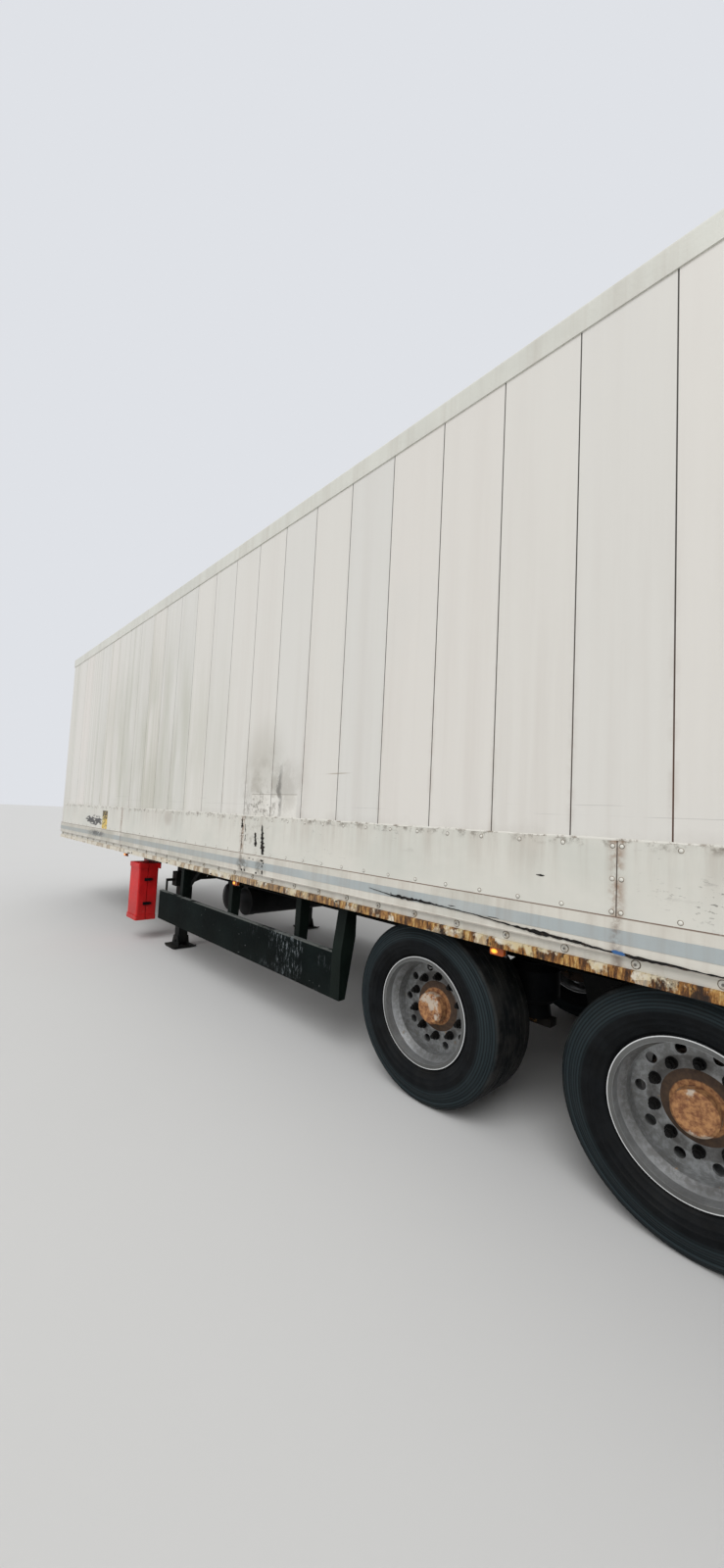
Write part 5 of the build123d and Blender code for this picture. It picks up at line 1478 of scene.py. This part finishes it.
class TRAILER_OT_latches(bpy.types.Operator):
    """Makes the rubber latches on the cabinet's rear side"""

    bl_idname = "trailer.latches"
    bl_label = "Latches"

    def execute(self, context):
        side, split = COVER_LOW.x + CABINET_RIM, COVER_LOW.y
        black = rubber_material("latch rubber")

        def blocks(bm, half, *spans):
            for height in LATCHES_AT:
                for outer, inner, from_y, to_y in spans:
                    low = (side - outer, split + from_y, height - half)
                    bar(bm, low, (side - inner, split + to_y, height + half))

        def straps(bm):
            blocks(bm, STRAP_HALF, STRAP, STRAP_TONGUE)

        def keepers(bm):
            blocks(bm, KEEPER_HALF, KEEPER)

        for name, build, body in (
            ("cabinet_latches", straps, "cabinet_cover"),
            ("latch_keepers", keepers, "trailer"),
        ):
            add_piece(name, mesh_from(name, build), body, [black])
        return {"FINISHED"}


class TRAILER_OT_damage(bpy.types.Operator):
    """Makes the tears, chips, painted dent shadows, torn edging, rag and bare label of the left side"""

    bl_idname = "trailer.damage"
    bl_label = "Damage"

    def execute(self, context):
        self.seed = context.scene.trailer_wear.seed
        black = torn_material()
        for name, build, slot, materials in (
            ("kick_plate_tears", self.tears, "kick_plate", [bpy.data.materials["kick plates"], black]),
            ("rail_chips", self.chips, "rail_cream", [black]),
            ("torn_edging", self.edging, "rail_cream", [black]),
            ("blue_rag", self.rag, "rail_cream", [rag_material()]),
            ("bare_label", self.label, "kick_plate", [label_material()]),
        ):
            add_piece(name, mesh_from(name, build), "trailer", materials)
        return {"FINISHED"}

    def tears(self, bm):
        """Black slits with bent lips."""
        dice = random.Random(self.seed)
        low, floor, lip = KICK_HIGH.y - SUNK, KICK_HIGH.y + 0.0004, KICK_HIGH.y + 0.003
        half_shape = ((0.0035, low), (0.0012, lip), (0.0, floor))
        shape = [(-1, *point) for point in half_shape]
        shape += [(1, *point) for point in reversed(half_shape)]
        for top_d, top_z, foot_d, foot_z, half in TEARS:
            run, rise = foot_d - top_d, foot_z - top_z
            spine = [(top_d, top_z, 0.0006)]
            for share, width in ((0.12, 0.7), (0.4, 0.75), (0.75, 1.0), (0.93, 0.6)):
                spine.append((top_d + run * share, top_z + rise * share, half * width))
            spine.append((foot_d, foot_z, 0.0006))
            strip(bm, rows_along(spine, 0.45, 0.009, dice), shape, dark=2)

    def chips(self, bm):
        """Marks on the rail, a chip of the kick plate and dark blobs on the flange that are painted
        shadows of dents.
        """
        dice = random.Random(self.seed + 1)
        for marks, face in ((RAIL_MARKS, RAIL_HIGH.y), ([CHIP], KICK_HIGH.y), (EDGE_DENT_SHADOWS, EDGE_HIGH.y)):
            for mark in marks:
                blob(bm, mark, face - SUNK, face + 0.0008, dice)

    def edging(self, bm):
        rows = rows_along(TORN_EDGING, 0.5, 0.016, random.Random(self.seed + 2))
        low, high = RAIL_HIGH.y - SUNK, RAIL_HIGH.y + 0.004
        strip(bm, rows, ((-1, 0.0, low), (-1, -0.0006, high), (1, -0.0006, high), (1, 0.0, low)))

    def rag(self, bm):
        dice = random.Random(self.seed + 3)
        blob(bm, BLUE_RAG, RAIL_HIGH.y + 0.001, RAIL_HIGH.y + 0.006, dice)

    def label(self, bm):
        distance, height, half_length, half_height = LABEL
        ends = (height + half_height, height - half_height)
        spine = [(distance, end, half_length) for end in ends]
        rows = rows_along(spine, 0.04, 0.012, random.Random(self.seed + 4))
        low, high = KICK_HIGH.y - SUNK, KICK_HIGH.y + 0.0005
        strip(bm, rows, ((-1, 0.0, low), (-1, 0.0, high), (1, 0.0, high), (1, 0.0, low)))


class TRAILER_OT_seals(bpy.types.Operator):
    """Lays the sealant over the kick plates and the rubber round the doors"""

    bl_idname = "trailer.seals"
    bl_label = "Seals"

    def execute(self, context):
        seed = context.scene.trailer_wear.seed
        name = "kick_plate_sealant"
        finish = sealant_material()

        def beads(bm):
            for _, side in SIDES:
                self.bead(bm, side, random.Random(seed + side))

        add_piece(name, mesh_from(name, beads), "trailer", [finish])
        rubber = rubber_material("door rubber")
        for label, side in SIDES:
            name = f"door_seal_{label}"
            mesh = mesh_from(name, lambda bm: self.door_seal(bm, side))
            add_piece(name, mesh, f"door_{label}", [rubber])
        return {"FINISHED"}

    def bead(self, bm, side, dice):
        """Wavy run of sealant on one side."""
        wall, plate, top = WALL_HIGH.y, KICK_HIGH.y, KICK_HIGH.z
        rings = []
        lift = 0.0
        for index in range(SEALANT_STEPS + 1):
            x = KICK_HIGH.x + (KICK_LOW.x - KICK_HIGH.x) * index / SEALANT_STEPS
            lift = 0.75 * lift + dice.uniform(-0.0022, 0.0022)
            shape = (
                (wall - SUNK, top - SUNK), (plate - 0.0015, top - SUNK),
                (plate - 0.0005, top + 0.003), (plate - 0.002, top + 0.007 + lift),
                (wall - SUNK, top + 0.009 + lift),
            )
            rings.append([bm.verts.new((x, side * y, z)) for y, z in shape])
        skin(bm, rings)

    def door_seal(self, bm, side):
        """Rubber frame round one leaf, on its outer face."""
        inner, outer = DOOR_HALF_GAP + SEAL_INSET, DOOR_EDGE - SEAL_INSET
        low, high = DOOR_LOW.z + SEAL_INSET, DOOR_HIGH.z - SEAL_INSET
        width = SEAL_WIDTH
        spans = (
            (inner, outer, low, low + width),
            (inner, outer, high - width, high),
            (inner, inner + width, low + width, high - width),
            (outer - width, outer, low + width, high - width),
        )
        for from_y, to_y, from_z, to_z in spans:
            face = (DOOR_FACE - SEAL_RISE, side * from_y, from_z)
            bar(bm, face, (DOOR_FACE + SUNK, side * to_y, to_z))


class TRAILER_OT_stage(bpy.types.Operator):
    """Sets the floor, the light and the camera"""

    bl_idname = "trailer.stage"
    bl_label = "Stage"

    def execute(self, context):
        scene = context.scene
        scene.view_settings.view_transform = "Standard"
        self.floor(scene, scene.trailer_stage)
        self.light(scene, scene.trailer_stage)
        self.camera(scene, scene.trailer_stage)
        return {"FINISHED"}

    def floor(self, scene, stage):
        half, z = stage.floor_half, -0.001
        mesh = bpy.data.meshes.new("floor")
        corners = [(-half, -half, z), (half, -half, z), (half, half, z), (-half, half, z)]
        mesh.from_pydata(corners, [], [(0, 1, 2, 3)])
        floor = bpy.data.objects.new("floor", mesh)
        scene.collection.objects.link(floor)
        finish = Finish("floor", 0.85, specular=0.2)
        finish.colour = finish.noise(0.7, 4.0).mix(stage.floor, scaled(stage.floor, 0.97))
        mesh.materials.append(finish.done())

    def light(self, scene, stage):
        """Even sky that looks a little greyer than it shines, and a soft lamp overhead."""
        world = bpy.data.worlds.new("studio")
        scene.world = world
        world.use_nodes = True
        graph = Graph(world.node_tree)
        rays = [f"Is {kind} Ray" for kind in ("Camera", "Glossy", "Transmission")]
        seen = largest(*[graph.value("ShaderNodeLightPath", output=ray) for ray in rays])
        background = world.node_tree.nodes["Background"].inputs
        graph.put(background["Strength"], seen.blend(stage.sky, 1.0))
        graph.put(background["Color"], seen.mix((1.0, 1.0, 1.0), (0.74, 0.76, 0.80)))
        lamp = bpy.data.lights.new("soft lamp", "SUN")
        lamp.energy = stage.sun
        lamp.angle = math.radians(40)
        sun = bpy.data.objects.new("soft lamp", lamp)
        scene.collection.objects.link(sun)
        sun.rotation_mode = "QUATERNION"
        sun.rotation_quaternion = Vector(LAMP_SHINES).to_track_quat("-Z", "Y")

    def camera(self, scene, stage):
        """Camera beside the rear of the left side, fitted to the wall's seams."""
        data = bpy.data.cameras.new("camera")
        data.lens = stage.lens
        data.sensor_width = 36.0
        data.clip_end = 400.0
        camera = bpy.data.objects.new("camera", data)
        scene.collection.objects.link(camera)
        right = Vector(CAMERA_RIGHT).normalized()
        forward = Vector(CAMERA_FORWARD)
        forward = (forward - right * forward.dot(right)).normalized()
        turn = Matrix((right, right.cross(forward), -forward)).transposed().to_4x4()
        beside, above = RAIL_HIGH.y + CAMERA_BESIDE, EDGE_LOW.z + CAMERA_ABOVE
        place = (X_FRONT - CAMERA_BEHIND, beside, above)
        camera.matrix_world = Matrix.Translation(place) @ turn
        scene.camera = camera


GROUPS = (
    ("trailer_paint", TrailerPaint),
    ("trailer_wear", TrailerWear),
    ("trailer_fasteners", TrailerFasteners),
    ("trailer_tyres", TrailerTyres),
    ("trailer_stage", TrailerStage),
)
OPERATORS = (
    TRAILER_OT_effects,
    TRAILER_OT_stage,
    TRAILER_OT_box_finish,
    TRAILER_OT_chassis_finish,
    TRAILER_OT_tyres,
    TRAILER_OT_wheels,
    TRAILER_OT_rivets,
    TRAILER_OT_washers,
    TRAILER_OT_bolts,
    TRAILER_OT_latches,
    TRAILER_OT_damage,
    TRAILER_OT_seals,
)


class TRAILER_PT_panel(bpy.types.Panel):
    """Sidebar panel with the trailer's pieces"""

    bl_idname = "TRAILER_PT_panel"
    bl_label = "Box Semi-Trailer"
    bl_space_type = "VIEW_3D"
    bl_region_type = "UI"
    bl_category = "Trailer"

    def draw(self, context):
        for operator in OPERATORS:
            self.layout.operator(operator.bl_idname)
        for name, group in GROUPS:
            box = self.layout.box()
            for key in group.__annotations__:
                box.prop(getattr(context.scene, name), key)


def register():
    for name, group in GROUPS:
        bpy.utils.register_class(group)
        setattr(bpy.types.Scene, name, PointerProperty(type=group))
    for operator in OPERATORS:
        bpy.utils.register_class(operator)
    bpy.utils.register_class(TRAILER_PT_panel)


def unregister():
    bpy.utils.unregister_class(TRAILER_PT_panel)
    for operator in reversed(OPERATORS):
        bpy.utils.unregister_class(operator)
    for name, group in reversed(GROUPS):
        delattr(bpy.types.Scene, name)
        bpy.utils.unregister_class(group)


def main():
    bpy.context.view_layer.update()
    register()
    for operator in OPERATORS:
        _, name = operator.bl_idname.split(".")
        getattr(bpy.ops.trailer, name)()


if __name__ == "__main__":
    main()
